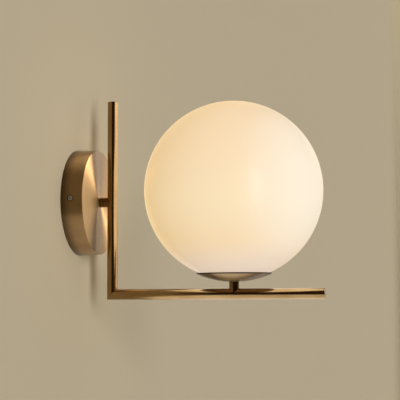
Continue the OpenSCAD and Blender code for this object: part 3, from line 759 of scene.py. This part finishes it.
def make_tube_caps():
    """Turned caps: a flange as wide as the tube, on a spigot in its bore."""
    spigot_r = TUBE_BORE_R - 0.03 * MM
    flange = eased([(0, CAP_FLANGE), (TUBE_R, CAP_FLANGE), (TUBE_R, 0.06 * MM), (TUBE_R - 0.06 * MM, 0)],
                   0.3 * MM, parts=4)
    spigot = [(spigot_r, 0), (spigot_r, 0.5 * MM - CAP_SPIGOT), (spigot_r - 0.5 * MM, -CAP_SPIGOT),
              (0, -CAP_SPIGOT)]
    profile = flange + spigot
    up = turned("upright end cap", [(r, TUBE_TOP + h) for r, h in profile], "Z", (UPRIGHT_X, 0))
    place(up, TUBE_UP, "frame", "brass_satin", "upright_cap")
    level = turned("level end cap", [(r, LEVEL_END + h) for r, h in profile], "X", (0, LEVEL_Z))
    place(level, TUBE_LEVEL, "frame", "brass_satin", "level_cap")


# The dish and the globe

def make_dish():
    """A spun saucer, concentric with the globe, with a flat seat and a trimmed, eased rim."""
    inner_r, outer_r = GLOBE_R + DISH_GAP, GLOBE_R + DISH_GAP + SHEET
    floor_z = DISH_SEAT_Z + SHEET

    def low_angle(radius, reach):
        return math.pi - math.asin(reach / radius)

    seat_out = low_angle(outer_r, math.sqrt(outer_r ** 2 - (GLOBE_Z - DISH_SEAT_Z) ** 2))
    seat_in = low_angle(inner_r, math.sqrt(inner_r ** 2 - (GLOBE_Z - floor_z) ** 2))
    outer = round_profile(outer_r, GLOBE_Z, seat_out, low_angle(outer_r, DISH_R), 28)
    inner = round_profile(inner_r, GLOBE_Z, low_angle(inner_r, DISH_R), seat_in, 28)
    rim = eased([outer[-2], outer[-1], inner[0], inner[1]], 0.12 * MM)[1:-1]
    hole = [(NIPPLE_HOLE_R, floor_z), (NIPPLE_HOLE_R, DISH_SEAT_Z)]
    saucer = turned("dish saucer", outer[:-1] + rim + inner[1:] + hole, "Z", (GLOBE_X, 0), steps=192)
    place(saucer, SPUN_DISH, "frame", "brass_satin", "dish")


def make_globe():
    """Blown opal glass, with a ground land round its mouth."""
    inside_r = GLOBE_R - GLASS
    land_z = GLOBE_Z - math.sqrt(GLOBE_R ** 2 - LAND_R ** 2)
    outer = round_profile(GLOBE_R, GLOBE_Z, 0, math.pi - math.asin((LAND_R + 0.3 * MM) / GLOBE_R), 84)
    mouth_z = GLOBE_Z - math.sqrt(inside_r ** 2 - MOUTH_R ** 2)
    land = eased([outer[-1], (LAND_R, land_z), (MOUTH_R, land_z), (MOUTH_R, mouth_z)], 0.3 * MM)
    inner = round_profile(inside_r, GLOBE_Z, math.pi - math.asin(MOUTH_R / inside_r), 0, 72)
    shade = turned("globe shade", outer + land[1:-1] + inner, "Z", (GLOBE_X, 0), steps=160)
    return place(shade, OPAL, "globe", "opal_glass", "globe")


# The bulb

THREAD_STEPS = 72


def thread_rings(low, high, core, crest, pitch, axis, centre, rows_a_turn):
    """Rings of a rolled thread, which dies away over half a turn at both ends."""
    rows = int((high - low) / pitch * rows_a_turn)
    rings = []
    for i in range(rows + 1):
        along = (high - low) * i / rows
        fade = max(0.0, min(1.0, 2 * along / pitch, 2 * (high - low - along) / pitch))
        ring = []
        for a in angles(THREAD_STEPS):
            wave = 0.5 + 0.5 * math.cos(2 * math.pi * along / pitch - a)
            radius = core + (crest - core) * wave * fade
            ring.append(point_about(axis, centre, radius, a, low + along))
        rings.append(ring)
    return rings


def make_bulb_envelope():
    centre_z = BULB_TOP - BULB_R
    drop = centre_z - BULB_SEAM_Z
    inside_r = BULB_R - BULB_WALL
    outer = round_profile(BULB_R, centre_z, 0, math.pi - math.acos(drop / BULB_R), 40)
    inner = round_profile(inside_r, centre_z, math.pi - math.acos(drop / inside_r), 0, 32)
    cover = turned("bulb opal cover", outer + inner, "Z", (GLOBE_X, 0))
    place(cover, BULB_OPAL, "bulb", "bulb_opal", "bulb_envelope")


def make_bulb_cap():
    """The thin rolled screw cap of the bulb."""
    low, high = span("bulb_cap", "z")
    crest = half("bulb_cap", "x")
    core, bore = crest - 0.5 * MM, crest - 0.75 * MM
    centre = (GLOBE_X, 0)
    rings = level_rings([(bore, low), (crest - 0.55 * MM, low)], "Z", centre, THREAD_STEPS)
    rings += thread_rings(low + 0.4 * MM, high - 4.5 * MM, core, crest, BULB_THREAD_PITCH, "Z", centre, 10)
    rings += level_rings([(core, high - 3.6 * MM), (crest, high - 3 * MM), (crest, high), (bore, high)],
                         "Z", centre, THREAD_STEPS)
    place(skin("bulb screw cap", rings), NICKEL, "bulb", "cap_nickel", "bulb_cap")


# Threaded and hexagonal hardware

def make_nipple(node, axis, centre):
    """A hollow threaded nipple, M10 by 1."""
    low, high = span(node, axis.lower())
    core, tip = NIPPLE_R - 0.5 * MM, NIPPLE_R - 0.6 * MM
    rings = level_rings([(NIPPLE_BORE_R, low), (tip, low)], axis, centre, THREAD_STEPS)
    rings += thread_rings(low + 0.2 * MM, high - 0.2 * MM, core, NIPPLE_R, NIPPLE_PITCH, axis, centre, 8)
    rings += level_rings([(tip, high), (NIPPLE_BORE_R, high)], axis, centre, THREAD_STEPS)
    place(skin("threaded " + node, rings), TURNED_BRASS, "frame", "brass_plain", node)


def make_hex_nut(node, axis, centre):
    """A hexagon nut with its corners turned off on both faces."""
    low, high = span(node, axis.lower())
    face_r = 0.96 * NUT_HALF_FLATS

    def hex_ring(start, way):
        points = []
        for a in angles():
            radius = NUT_HALF_FLATS / math.cos(a % math.radians(60) - math.radians(30))
            drop = (radius - face_r) * math.tan(math.radians(28))
            points.append(point_about(axis, centre, radius, a, start + way * drop))
        return points

    rings = level_rings([(NUT_BORE_R, low), (face_r, low)], axis, centre)
    rings += [hex_ring(low, 1), hex_ring(high, -1)]
    rings += level_rings([(face_r, high), (NUT_BORE_R, high)], axis, centre)
    place(skin("hexagon " + node, rings), TURNED_BRASS, "frame", "brass_plain", node)


# Geometry Nodes for what repeats

class Build(Group):
    """A Geometry Nodes tree with a named input for each size, a centre and a material."""

    def __init__(self, name, **sizes):
        super().__init__("Geometry", name, {"Geometry": "Geometry"}, {
            "Geometry": "Geometry", **spaced(sizes), "Centre": (0, 0, 0), "Material": "Material"})

    def cylinder(self, radius, depth, lift, sides=32, top=None):
        """A cylinder, or a cone where its top has a radius of its own, whose middle is lifted along Z."""
        feeds = {"Vertices": sides, "Radius Bottom": radius, "Radius Top": radius if top is None else top,
                 "Depth": depth}
        return self.moved(self.add("GeometryNodeMeshCone", feeds).outputs["Mesh"], z=lift)

    def moved(self, geometry, z=None, shift=None, turn=None):
        if z is not None:
            shift = self.vector(Z=z)
        feeds = {"Geometry": geometry, "Translation": shift, "Rotation": turn}
        return self.add("GeometryNodeTransform", feeds).outputs[0]

    def joined(self, *parts):
        node = self.add("GeometryNodeJoinGeometry")
        for part in reversed(parts):
            self.join(part, node.inputs[0])
        return node.outputs[0]

    def welded(self, *parts):
        """The parts as one mesh, with the points merged where they meet."""
        feeds = {"Geometry": self.joined(*parts), "Distance": 0.001 * MM}
        return self.add("GeometryNodeMergeByDistance", feeds).outputs[0]

    def line(self, count, step):
        feeds = {"Count": self[count], "Offset": self[step]}
        return self.add("GeometryNodeMeshLine", feeds).outputs[0]

    def carved(self, body, cutter):
        feeds = {"Mesh 1": body, "Mesh 2": cutter}
        node = self.add("GeometryNodeMeshBoolean", feeds, operation="DIFFERENCE", solver="EXACT")
        return node.outputs["Mesh"]

    def copies(self, points, instance, turn=None):
        feeds = {"Points": points, "Instance": instance, "Rotation": turn}
        return self.add("GeometryNodeInstanceOnPoints", feeds).outputs["Instances"]

    def real(self, instances):
        return self.add("GeometryNodeRealizeInstances", {0: instances}).outputs[0]

    def close(self, geometry):
        """Moves the pieces to their centre, makes them real and gives them their material."""
        pieces = self.real(self.moved(geometry, shift=self["Centre"]))
        dress = self.add("GeometryNodeSetMaterial", {"Geometry": pieces, "Material": self["Material"]})
        self.give("Geometry", dress.outputs[0])
        return self.tree


def grown(tree, name, **values):
    """Runs a tree on an empty mesh with its named inputs set, and returns the plain mesh."""
    host = new_object(name, bpy.data.meshes.new(name))
    grow = host.modifiers.new("build", "NODES")
    grow.node_group = tree
    sockets = {s.name: s.identifier for s in tree.interface.items_tree if s.in_out == "INPUT"}
    for label, value in spaced(values).items():
        grow[sockets[label]] = value
    return settled(host)


def slotted_screws():
    """Cheese-head screws with a slot, in rows and columns. The tree's Z points out of the heads."""
    b = Build("slotted screws", Columns=1, Column_step=(0, 0, 0), Rows=1, Row_step=(0, 0, 0),
              Head_radius=2 * MM, Head_height=1.5 * MM, Shank_radius=1.2 * MM, Shank_length=5 * MM,
              Slot_width=0.6 * MM, Slot_depth=0.7 * MM, Turn="Rotation")
    height, radius = b["Head height"], b["Head radius"]
    lower = b.times(height, 0.78)
    upper = b.minus(height, lower)
    top = b.cylinder(radius, upper, lower, top=b.minus(radius, b.times(upper, 0.8)))
    head = b.welded(b.cylinder(radius, lower, 0.0), top)
    shape = b.vector(X=b.times(radius, 3.0), Y=b["Slot width"], Z=b.times(b["Slot depth"], 2.0))
    slot = b.add("GeometryNodeMeshCube", {"Size": shape})
    length = b["Shank length"]
    shank = b.cylinder(b["Shank radius"], length, b.times(length, -1.0), sides=24)
    screw = b.joined(b.carved(head, b.moved(slot.outputs["Mesh"], z=height)), shank)
    spots = b.real(b.copies(b.line("Rows", "Row step"), b.line("Columns", "Column step")))
    return b.close(b.copies(spots, screw, b["Turn"]))


def opposed_set_screws():
    """Two headless screws with hexagon sockets, which point at each other along Y."""
    b = Build("opposed set screws", Radius=2.5 * MM, Length=9 * MM, Outer_end=60 * MM,
              Socket_radius=1.44 * MM, Socket_depth=2.5 * MM)
    radius, length = b["Radius"], b["Length"]
    bevel = b.times(radius, 0.16)
    body = b.cylinder(radius, b.minus(length, bevel), b.times(length, -1.0))
    tip = b.cylinder(radius, bevel, b.times(bevel, -1.0), top=b.minus(radius, bevel))
    depth = b["Socket depth"]
    socket = b.cylinder(b["Socket radius"], b.times(depth, 2.0), b.times(depth, -1.0), sides=6)
    screw = b.moved(b.carved(b.welded(body, tip), socket), z=b["Outer end"])
    pair = [b.moved(screw, turn=(math.radians(angle), 0, 0)) for angle in (-90, 90)]
    return b.close(b.joined(*pair))


def ring_of_rivets():
    """Rivets with domed heads on both sides of a plate, spaced evenly round a circle."""
    b = Build("ring of rivets", Count=3, Circle_radius=16.8 * MM, First_angle=math.pi, Shank_radius=1.0 * MM,
              Head_radius=1.8 * MM, Grip=1.2 * MM, Lower_head=0.6 * MM, Upper_head=0.8 * MM)
    grip, radius = b["Grip"], b["Head radius"]
    parts = [b.cylinder(b["Shank radius"], grip, 0.0, sides=20)]
    for label, way in (("Upper head", 1), ("Lower head", -1)):
        tall, last = b[label], radius
        for k, (reach, share) in enumerate(((0.96, 0.3), (0.8, 0.35), (0.5, 0.25), (0.05, 0.1))):
            top = b.times(radius, reach)
            slice_h = b.times(tall, share)
            done = (0.0, 0.3, 0.65, 0.9)[k]
            if way > 0:
                lift = b.plus(grip, b.times(tall, done))
                parts.append(b.cylinder(last, slice_h, lift, sides=24, top=top))
            else:
                lift = b.times(tall, -(done + share))
                parts.append(b.cylinder(top, slice_h, lift, sides=24, top=last))
            last = top
    feeds = {"Vertices": b["Count"], "Radius": b["Circle radius"]}
    circle = b.add("GeometryNodeMeshCircle", feeds, fill_type="NONE")
    ring = b.moved(circle.outputs[0], turn=b.vector(Z=b["First angle"]))
    return b.close(b.copies(ring, b.joined(*parts)))


def make_screws():
    """The screws of the terminal block, the bracket and the lampholder, from one tree."""
    tree = slotted_screws()
    clamp_r = 1.9 * MM

    def screws(node, name, tall, y, z, finish=ZINC, slot="zinc_steel", **sizes):
        """Screws that fill their node from back to front, with the first of them at this Y and Z."""
        low, high = span(node, "x")
        mesh = grown(tree, name, Head_height=tall, Shank_length=high - low - tall, Centre=(high - tall, y, z),
                     Turn=(0, math.radians(90), 0), Material=finish, **sizes)
        place(mesh, None, "frame", slot, node)

    def two_rows(node, name, tall, z, **sizes):
        """Two rows of small screws, which reach from one side of their node to the other."""
        low, high = span(node, "y")
        screws(node, name, tall, low + clamp_r, z, Rows=2, Row_step=(0, high - low - 2 * clamp_r, 0),
               Head_radius=clamp_r, Shank_radius=1.25 * MM, **sizes)

    two_rows("terminal_screws", "clamping screws", 2 * MM, span("terminal_screws", "z")[0] + clamp_r,
             Columns=3, Column_step=(0, 0, 8 * MM))
    screws("block_screw", "hold-down screw", 1.8 * MM, middle("block_screw", "y"), middle("block_screw", "z"),
           Head_radius=2.5 * MM, Shank_radius=1.5 * MM, Slot_width=0.8 * MM, Slot_depth=0.9 * MM)
    screws("earth_screw", "earthing screw", 2.4 * MM, middle("earth_screw", "y"), 0, TURNED_BRASS,
           "brass_plain", Head_radius=half("earth_screw", "y"), Shank_radius=2 * MM, Slot_width=MM,
           Slot_depth=MM)
    two_rows("holder_terminal_screws", "lampholder screws", 1.4 * MM, middle("holder_terminal_screws", "z"),
             Slot_depth=0.6 * MM)


def make_set_screws():
    mesh = grown(opposed_set_screws(), "canopy set screws", Radius=half("canopy_screws", "x"),
                 Outer_end=span("canopy_screws", "y")[1], Centre=(SIDE_SCREW_X, 0, 0), Material=ZINC)
    place(mesh, None, "frame", "zinc_steel", "canopy_screws")


def make_rivets():
    low, high = span("gallery_rivets", "z")
    lower, upper = 0.6 * MM, 0.8 * MM
    mesh = grown(ring_of_rivets(), "spring rivets", Lower_head=lower, Upper_head=upper,
                 Grip=high - low - (lower + upper), Centre=(GLOBE_X, 0, low + lower), Material=ZINC)
    place(mesh, None, "frame", "zinc_steel", "gallery_rivets")


# Pieces that keep the CAD's shape

def make_smooth_pieces():
    """Round pieces whose shape is the CAD's, shaded smooth."""
    for node, name, body, slot, finish, rounder in (
            ("gasket", "gasket ring", "frame", "silicone", SILICONE, 0),
            ("holder_base", "lampholder base", "frame", "porcelain", PORCELAIN, 0),
            ("holder_body", "lampholder body", "frame", "porcelain", PORCELAIN, 0),
            ("holder_sleeve", "lampholder sleeve", "frame", "brass_plain", TURNED_BRASS, 0),
            ("holder_terminals", "lampholder terminals", "frame", "brass_plain", TURNED_BRASS, 0),
            ("terminal_inserts", "insert tubes", "frame", "brass_plain", TURNED_BRASS, 0),
            ("bulb_housing", "bulb collar", "bulb", "white_plastic", WHITE_PLASTIC, 0),
            ("bulb_insulator", "black insulator", "bulb", "black_glaze", BLACK_GLAZE, 0),
            ("bulb_contact", "tip contact", "bulb", "cap_nickel", NICKEL, 0),
            ("live_lead", "brown lead", "frame", "live_insulation", BROWN_LEAD, 1),
            ("neutral_lead", "blue lead", "frame", "neutral_insulation", BLUE_LEAD, 1),
            ("earth_lead", "striped lead", "frame", "earth_insulation", EARTH_LEAD, 1)):
        place(smooth_copy(node, name, rounder), finish, body, slot, node)


def dress_cad_nodes():
    """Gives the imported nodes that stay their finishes."""
    for finish, nodes in (
            (ZINC, ("wall_bracket", "earth_washer", "earth_tag", "canopy_washer", "dish_washer",
                    "gallery_plate")),
            (SPRING, ("gallery_springs",)), (TURNED_BRASS, ("holder_contact",)),
            (WHITE_PLASTIC, ("terminal_block",)), (WHITE_BOARD, ("bulb_led_board",)),
            (GREEN_BOARD, ("bulb_driver_board",))):
        for node in nodes:
            mesh = frame["nodes"][node].data
            mesh.materials.clear()
            mesh.materials.append(finish)


# Stage, light and camera

WALL_COLOUR = srgb(191, 180, 155)
FAR_WALL_COLOUR = srgb(182, 172, 148)
BACKDROP_COLOUR = srgb(178, 166, 138)
ROOM_DARK = srgb(60, 46, 30)
ROOM_PALE = srgb(118, 104, 86)
BEHIND_THE_WALL = srgb(214, 204, 184)
FLOOR_COLOUR = srgb(200, 190, 165)
VIEW_TARGET = (143.57 * MM, 0, -0.36 * MM)
VIEW_ANGLES = (12.71, -5.62, -0.38)
LENS, SENSOR = 79.67, 36.0
HOLE_IN_WALL_R = 0.97 * CANOPY_R


def clear_starting_scene():
    """Removes what a new Blender file holds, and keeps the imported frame."""
    kept = set(frame["nodes"].values()) | set(frame["bodies"].values())
    for thing in list(bpy.data.objects):
        if thing not in kept:
            bpy.data.objects.remove(thing)


def flat_sheet(name, corners, finish):
    mesh = bpy.data.meshes.new(name)
    mesh.from_pydata(corners, [], [(0, 1, 2, 3)])
    mesh.materials.append(finish)
    sheet = new_object(name, mesh)
    return sheet


def wall_sheet(corners, finish):
    """The wall, with a round hole behind the canopy that lets daylight in for the views from behind."""
    shape = bmesh.new()
    hole = level_rings([(HOLE_IN_WALL_R, 0)], "X", (0, 0), 48)[0]
    for loop in (corners, hole):
        points = [shape.verts.new(c) for c in loop]
        for k, point in enumerate(points):
            shape.edges.new((points[k - 1], point))
    bmesh.ops.triangle_fill(shape, use_beauty=True, edges=shape.edges[:], normal=(1, 0, 0))
    for face in shape.faces:
        face.normal_update()
        if face.normal.x < 0:
            face.normal_flip()
    sheet = flat_sheet("wall", corners, finish)
    shape.to_mesh(sheet.data)
    shape.free()


def matt_paint(name, colour, clear_back=False):
    """Plain paint, which may be clear from behind, so that the part's back can be seen."""
    f = Finish(name, Base_Color=colour, Roughness=1.0, Specular_IOR_Level=0.0)
    if clear_back:
        facing = f.add("ShaderNodeNewGeometry").outputs["Backfacing"]
        clear = f.add("ShaderNodeBsdfTransparent").outputs[0]
        choice = f.add("ShaderNodeMixShader", {0: facing, 1: f.shader.outputs[0], 2: clear})
        f.join(choice.outputs[0], f.output.inputs["Surface"])
    return f.material


def make_stage():
    wall = matt_paint("wall paint", WALL_COLOUR, clear_back=True)
    floor = matt_paint("floor paint", FLOOR_COLOUR)
    near, far, low, high, out = -0.5, 160.0, -20.0, 80.0, 160.0
    wall_sheet([(0, near, low), (0, far, low), (0, far, high), (0, near, high)], wall)
    far_paint = matt_paint("far wall paint", FAR_WALL_COLOUR)
    corners = [(0, far, low), (out, far, low), (out, far, high), (0, far, high)]
    flat_sheet("far wall", corners, far_paint).visible_shadow = False
    flat_sheet("floor", [(-4, -4, low), (out, -4, low), (out, far, low), (-4, far, low)], floor)


def lamp_of(light, spot, aim):
    """Places a lamp that shines from a spot towards a point, and keeps it out of the picture."""
    lamp = new_object(light.name, light)
    lamp.location = spot
    lamp.rotation_mode = "QUATERNION"
    lamp.rotation_quaternion = (Vector(spot) - Vector(aim)).to_track_quat("Z", "Y")
    lamp.visible_camera = False
    return lamp


def soft_box(name, spot, aim, width, height, brightness, colour):
    """A card for the metal to reflect. At a brightness of 1 its face looks white."""
    light = bpy.data.lights.new(name, "AREA")
    light.shape, light.size, light.size_y, light.color = "RECTANGLE", width, height, colour
    light.energy = brightness * math.pi * width * height
    lamp_of(light, spot, aim).visible_diffuse = False


def wide_sun(name, towards, strength, angle, colour):
    """Light from a whole part of the room, the same on all of the wall."""
    light = bpy.data.lights.new(name, "SUN")
    light.energy, light.angle, light.color = strength, math.radians(angle), colour
    lamp_of(light, towards, (0, 0, 0)).visible_glossy = False


def make_room():
    """The room: dark by the camera, paler beyond and behind the wall, and plain where the camera sees it."""
    world = bpy.data.worlds.new("room")
    bpy.context.scene.world = world
    world.use_nodes = True
    w = Wiring(world.node_tree)
    world.node_tree.nodes.clear()
    parts = w.split(w.add("ShaderNodeTexCoord").outputs["Generated"])
    beyond = w.spread(parts["Y"], -0.5, 0.5, 0.0, 1.0)
    behind = w.spread(parts["X"], -0.85, -0.65, 1.0, 0.0)
    seen = w.add("ShaderNodeLightPath").outputs["Is Camera Ray"]
    tint = w.blend(behind, w.blend(beyond, ROOM_DARK, ROOM_PALE), BEHIND_THE_WALL)
    room = w.add("ShaderNodeBackground", {"Color": w.blend(seen, tint, BACKDROP_COLOUR)})
    w.add("ShaderNodeOutputWorld", {"Surface": room.outputs[0]})


def make_lights():
    """Wide suns for the room and the key, cards for the metal to reflect, and the globe's glow."""
    wide_sun("room light", (0.93, -0.05, 0.35), 0.35, 70, (0.85, 0.95, 1.15))
    wide_sun("window light", (0.6, 0.75, 0.3), 0.15, 80, (0.93, 0.97, 1.0))
    for tilt in (-0.28, -0.14, 0.0, 0.14, 0.28):
        wide_sun("level key", (0.632, -0.775, tilt), 0.6, 17, (1.0, 0.98, 0.95))
    soft_box("side card", (0.18, 0.6, 0.27), (0.18, 0, 0.27), 0.34, 0.56, 0.75, (0.9, 0.93, 1.0))
    soft_box("low card", (0.35, 0, -0.36), (0.35, 0, 0), 0.68, 1.24, 1.5, (0.85, 0.92, 1.0))
    soft_box("right card", (0.9, 0.15, 0.33), (0.1, 0.15, 0.2), 1.1, 0.4, 2.8, (0.95, 0.97, 1.0))
    soft_box("back card", (0.68, 0.62, 0.15), (0.04, 0, 0), 0.6, 1.2, 1.7, (1.0, 0.97, 0.9))
    soft_box("upper card", (0.55, 0.3, 0.52), (0.03, -0.03, 0.03), 0.5, 0.5, 16.0, (1.0, 0.96, 0.88))
    light = bpy.data.lights.new("globe glow", "POINT")
    light.use_soft_falloff = False
    light.shadow_soft_size = GLOBE_R + 0.5 * MM
    light.energy = 1.7 * 4 * (math.pi * light.shadow_soft_size) ** 2
    light.color = (0.8, 0.93, 1.0)
    lamp_of(light, (GLOBE_X, 0, GLOBE_Z), (GLOBE_X, 0, 0)).visible_diffuse = False


def lit_by(lamps, things, state):
    """Lets lamps light these things alone (INCLUDE), or everything but them (EXCLUDE)."""
    group = bpy.data.collections.new("lit by " + lamps[0].name)
    for thing in things:
        group.objects.link(thing)
    for entry in group.collection_objects:
        entry.light_linking.link_state = state
    for lamp in lamps:
        lamp.light_linking.receiver_collection = group


def let_light_through(shade):
    """Keeps the globe and what is inside it from casting shadows, and out of the glow that is theirs."""
    low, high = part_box("globe")
    hidden = [shade]
    for thing in bpy.context.scene.objects:
        if thing.type == "MESH" and thing.data.vertices and thing != shade:
            corners = [thing.matrix_world @ Vector(c) for c in thing.bound_box]
            if all(low[k] <= c[k] <= high[k] for c in corners for k in range(3)):
                hidden.append(thing)
    for thing in hidden:
        thing.visible_shadow = False
    lit_by([bpy.data.objects["globe glow"]], hidden, "EXCLUDE")


def limit_cards():
    """Keeps the cards out of glass, porcelain and white plastic, and the brightest to the canopy alone."""
    lamps = [thing for thing in bpy.context.scene.objects if thing.type == "LIGHT"]
    meshes = [thing for thing in bpy.context.scene.objects if thing.type == "MESH"]
    finish = {thing: thing.data.materials[0] for thing in meshes if thing.data.materials[:1]}
    cards = [lamp for lamp in lamps if lamp.name.endswith(" card") and lamp.name != "upper card"]
    left_out = (OPAL, BULB_OPAL, PORCELAIN, WHITE_PLASTIC, BLACK_GLAZE)
    lit_by(cards, [thing for thing in finish if finish[thing] in left_out], "EXCLUDE")
    canopy = [thing for thing in finish if finish[thing] == SPUN_CANOPY]
    lit_by([bpy.data.objects["upper card"]], canopy, "INCLUDE")


def make_camera():
    """The photograph's viewpoint, fitted to the part: a metre away and a little below the middle."""
    target = Vector(VIEW_TARGET)
    azimuth, elevation, roll = map(math.radians, VIEW_ANGLES)
    back = Vector((math.sin(azimuth) * math.cos(elevation), -math.cos(azimuth) * math.cos(elevation),
                   math.sin(elevation)))
    right = (-back).cross(Vector((0, 0, 1))).normalized()
    up = right.cross(-back)
    across = right * math.cos(roll) + up * math.sin(roll)
    upwards = up * math.cos(roll) - right * math.sin(roll)
    lens = bpy.data.cameras.new("camera")
    lens.sensor_fit = "HORIZONTAL"
    lens.sensor_width, lens.lens = SENSOR, LENS
    lens.clip_start, lens.clip_end = 0.01, 400
    camera = new_object("camera", lens)
    camera.matrix_world = Matrix.Translation(target + back) @ Matrix(
        (across, upwards, back)).transposed().to_4x4()
    bpy.context.scene.camera = camera


def make_object():
    make_canopy()
    make_standoff()
    make_upright_tube()
    make_level_tube()
    make_tube_caps()
    make_stem()
    make_dish()
    shade = make_globe()
    make_bulb_envelope()
    make_bulb_cap()
    make_nipple("canopy_nipple", "X", (0, 0))
    make_nipple("stem_nipple", "Z", (GLOBE_X, 0))
    make_hex_nut("canopy_nut", "X", (0, 0))
    make_hex_nut("dish_nut", "Z", (GLOBE_X, 0))
    make_screws()
    make_set_screws()
    make_rivets()
    make_smooth_pieces()
    dress_cad_nodes()
    let_light_through(shade)
    limit_cards()


clear_starting_scene()
bpy.context.scene.view_settings.view_transform = "Standard"
make_camera()
make_stage()
make_room()
make_lights()
make_object()
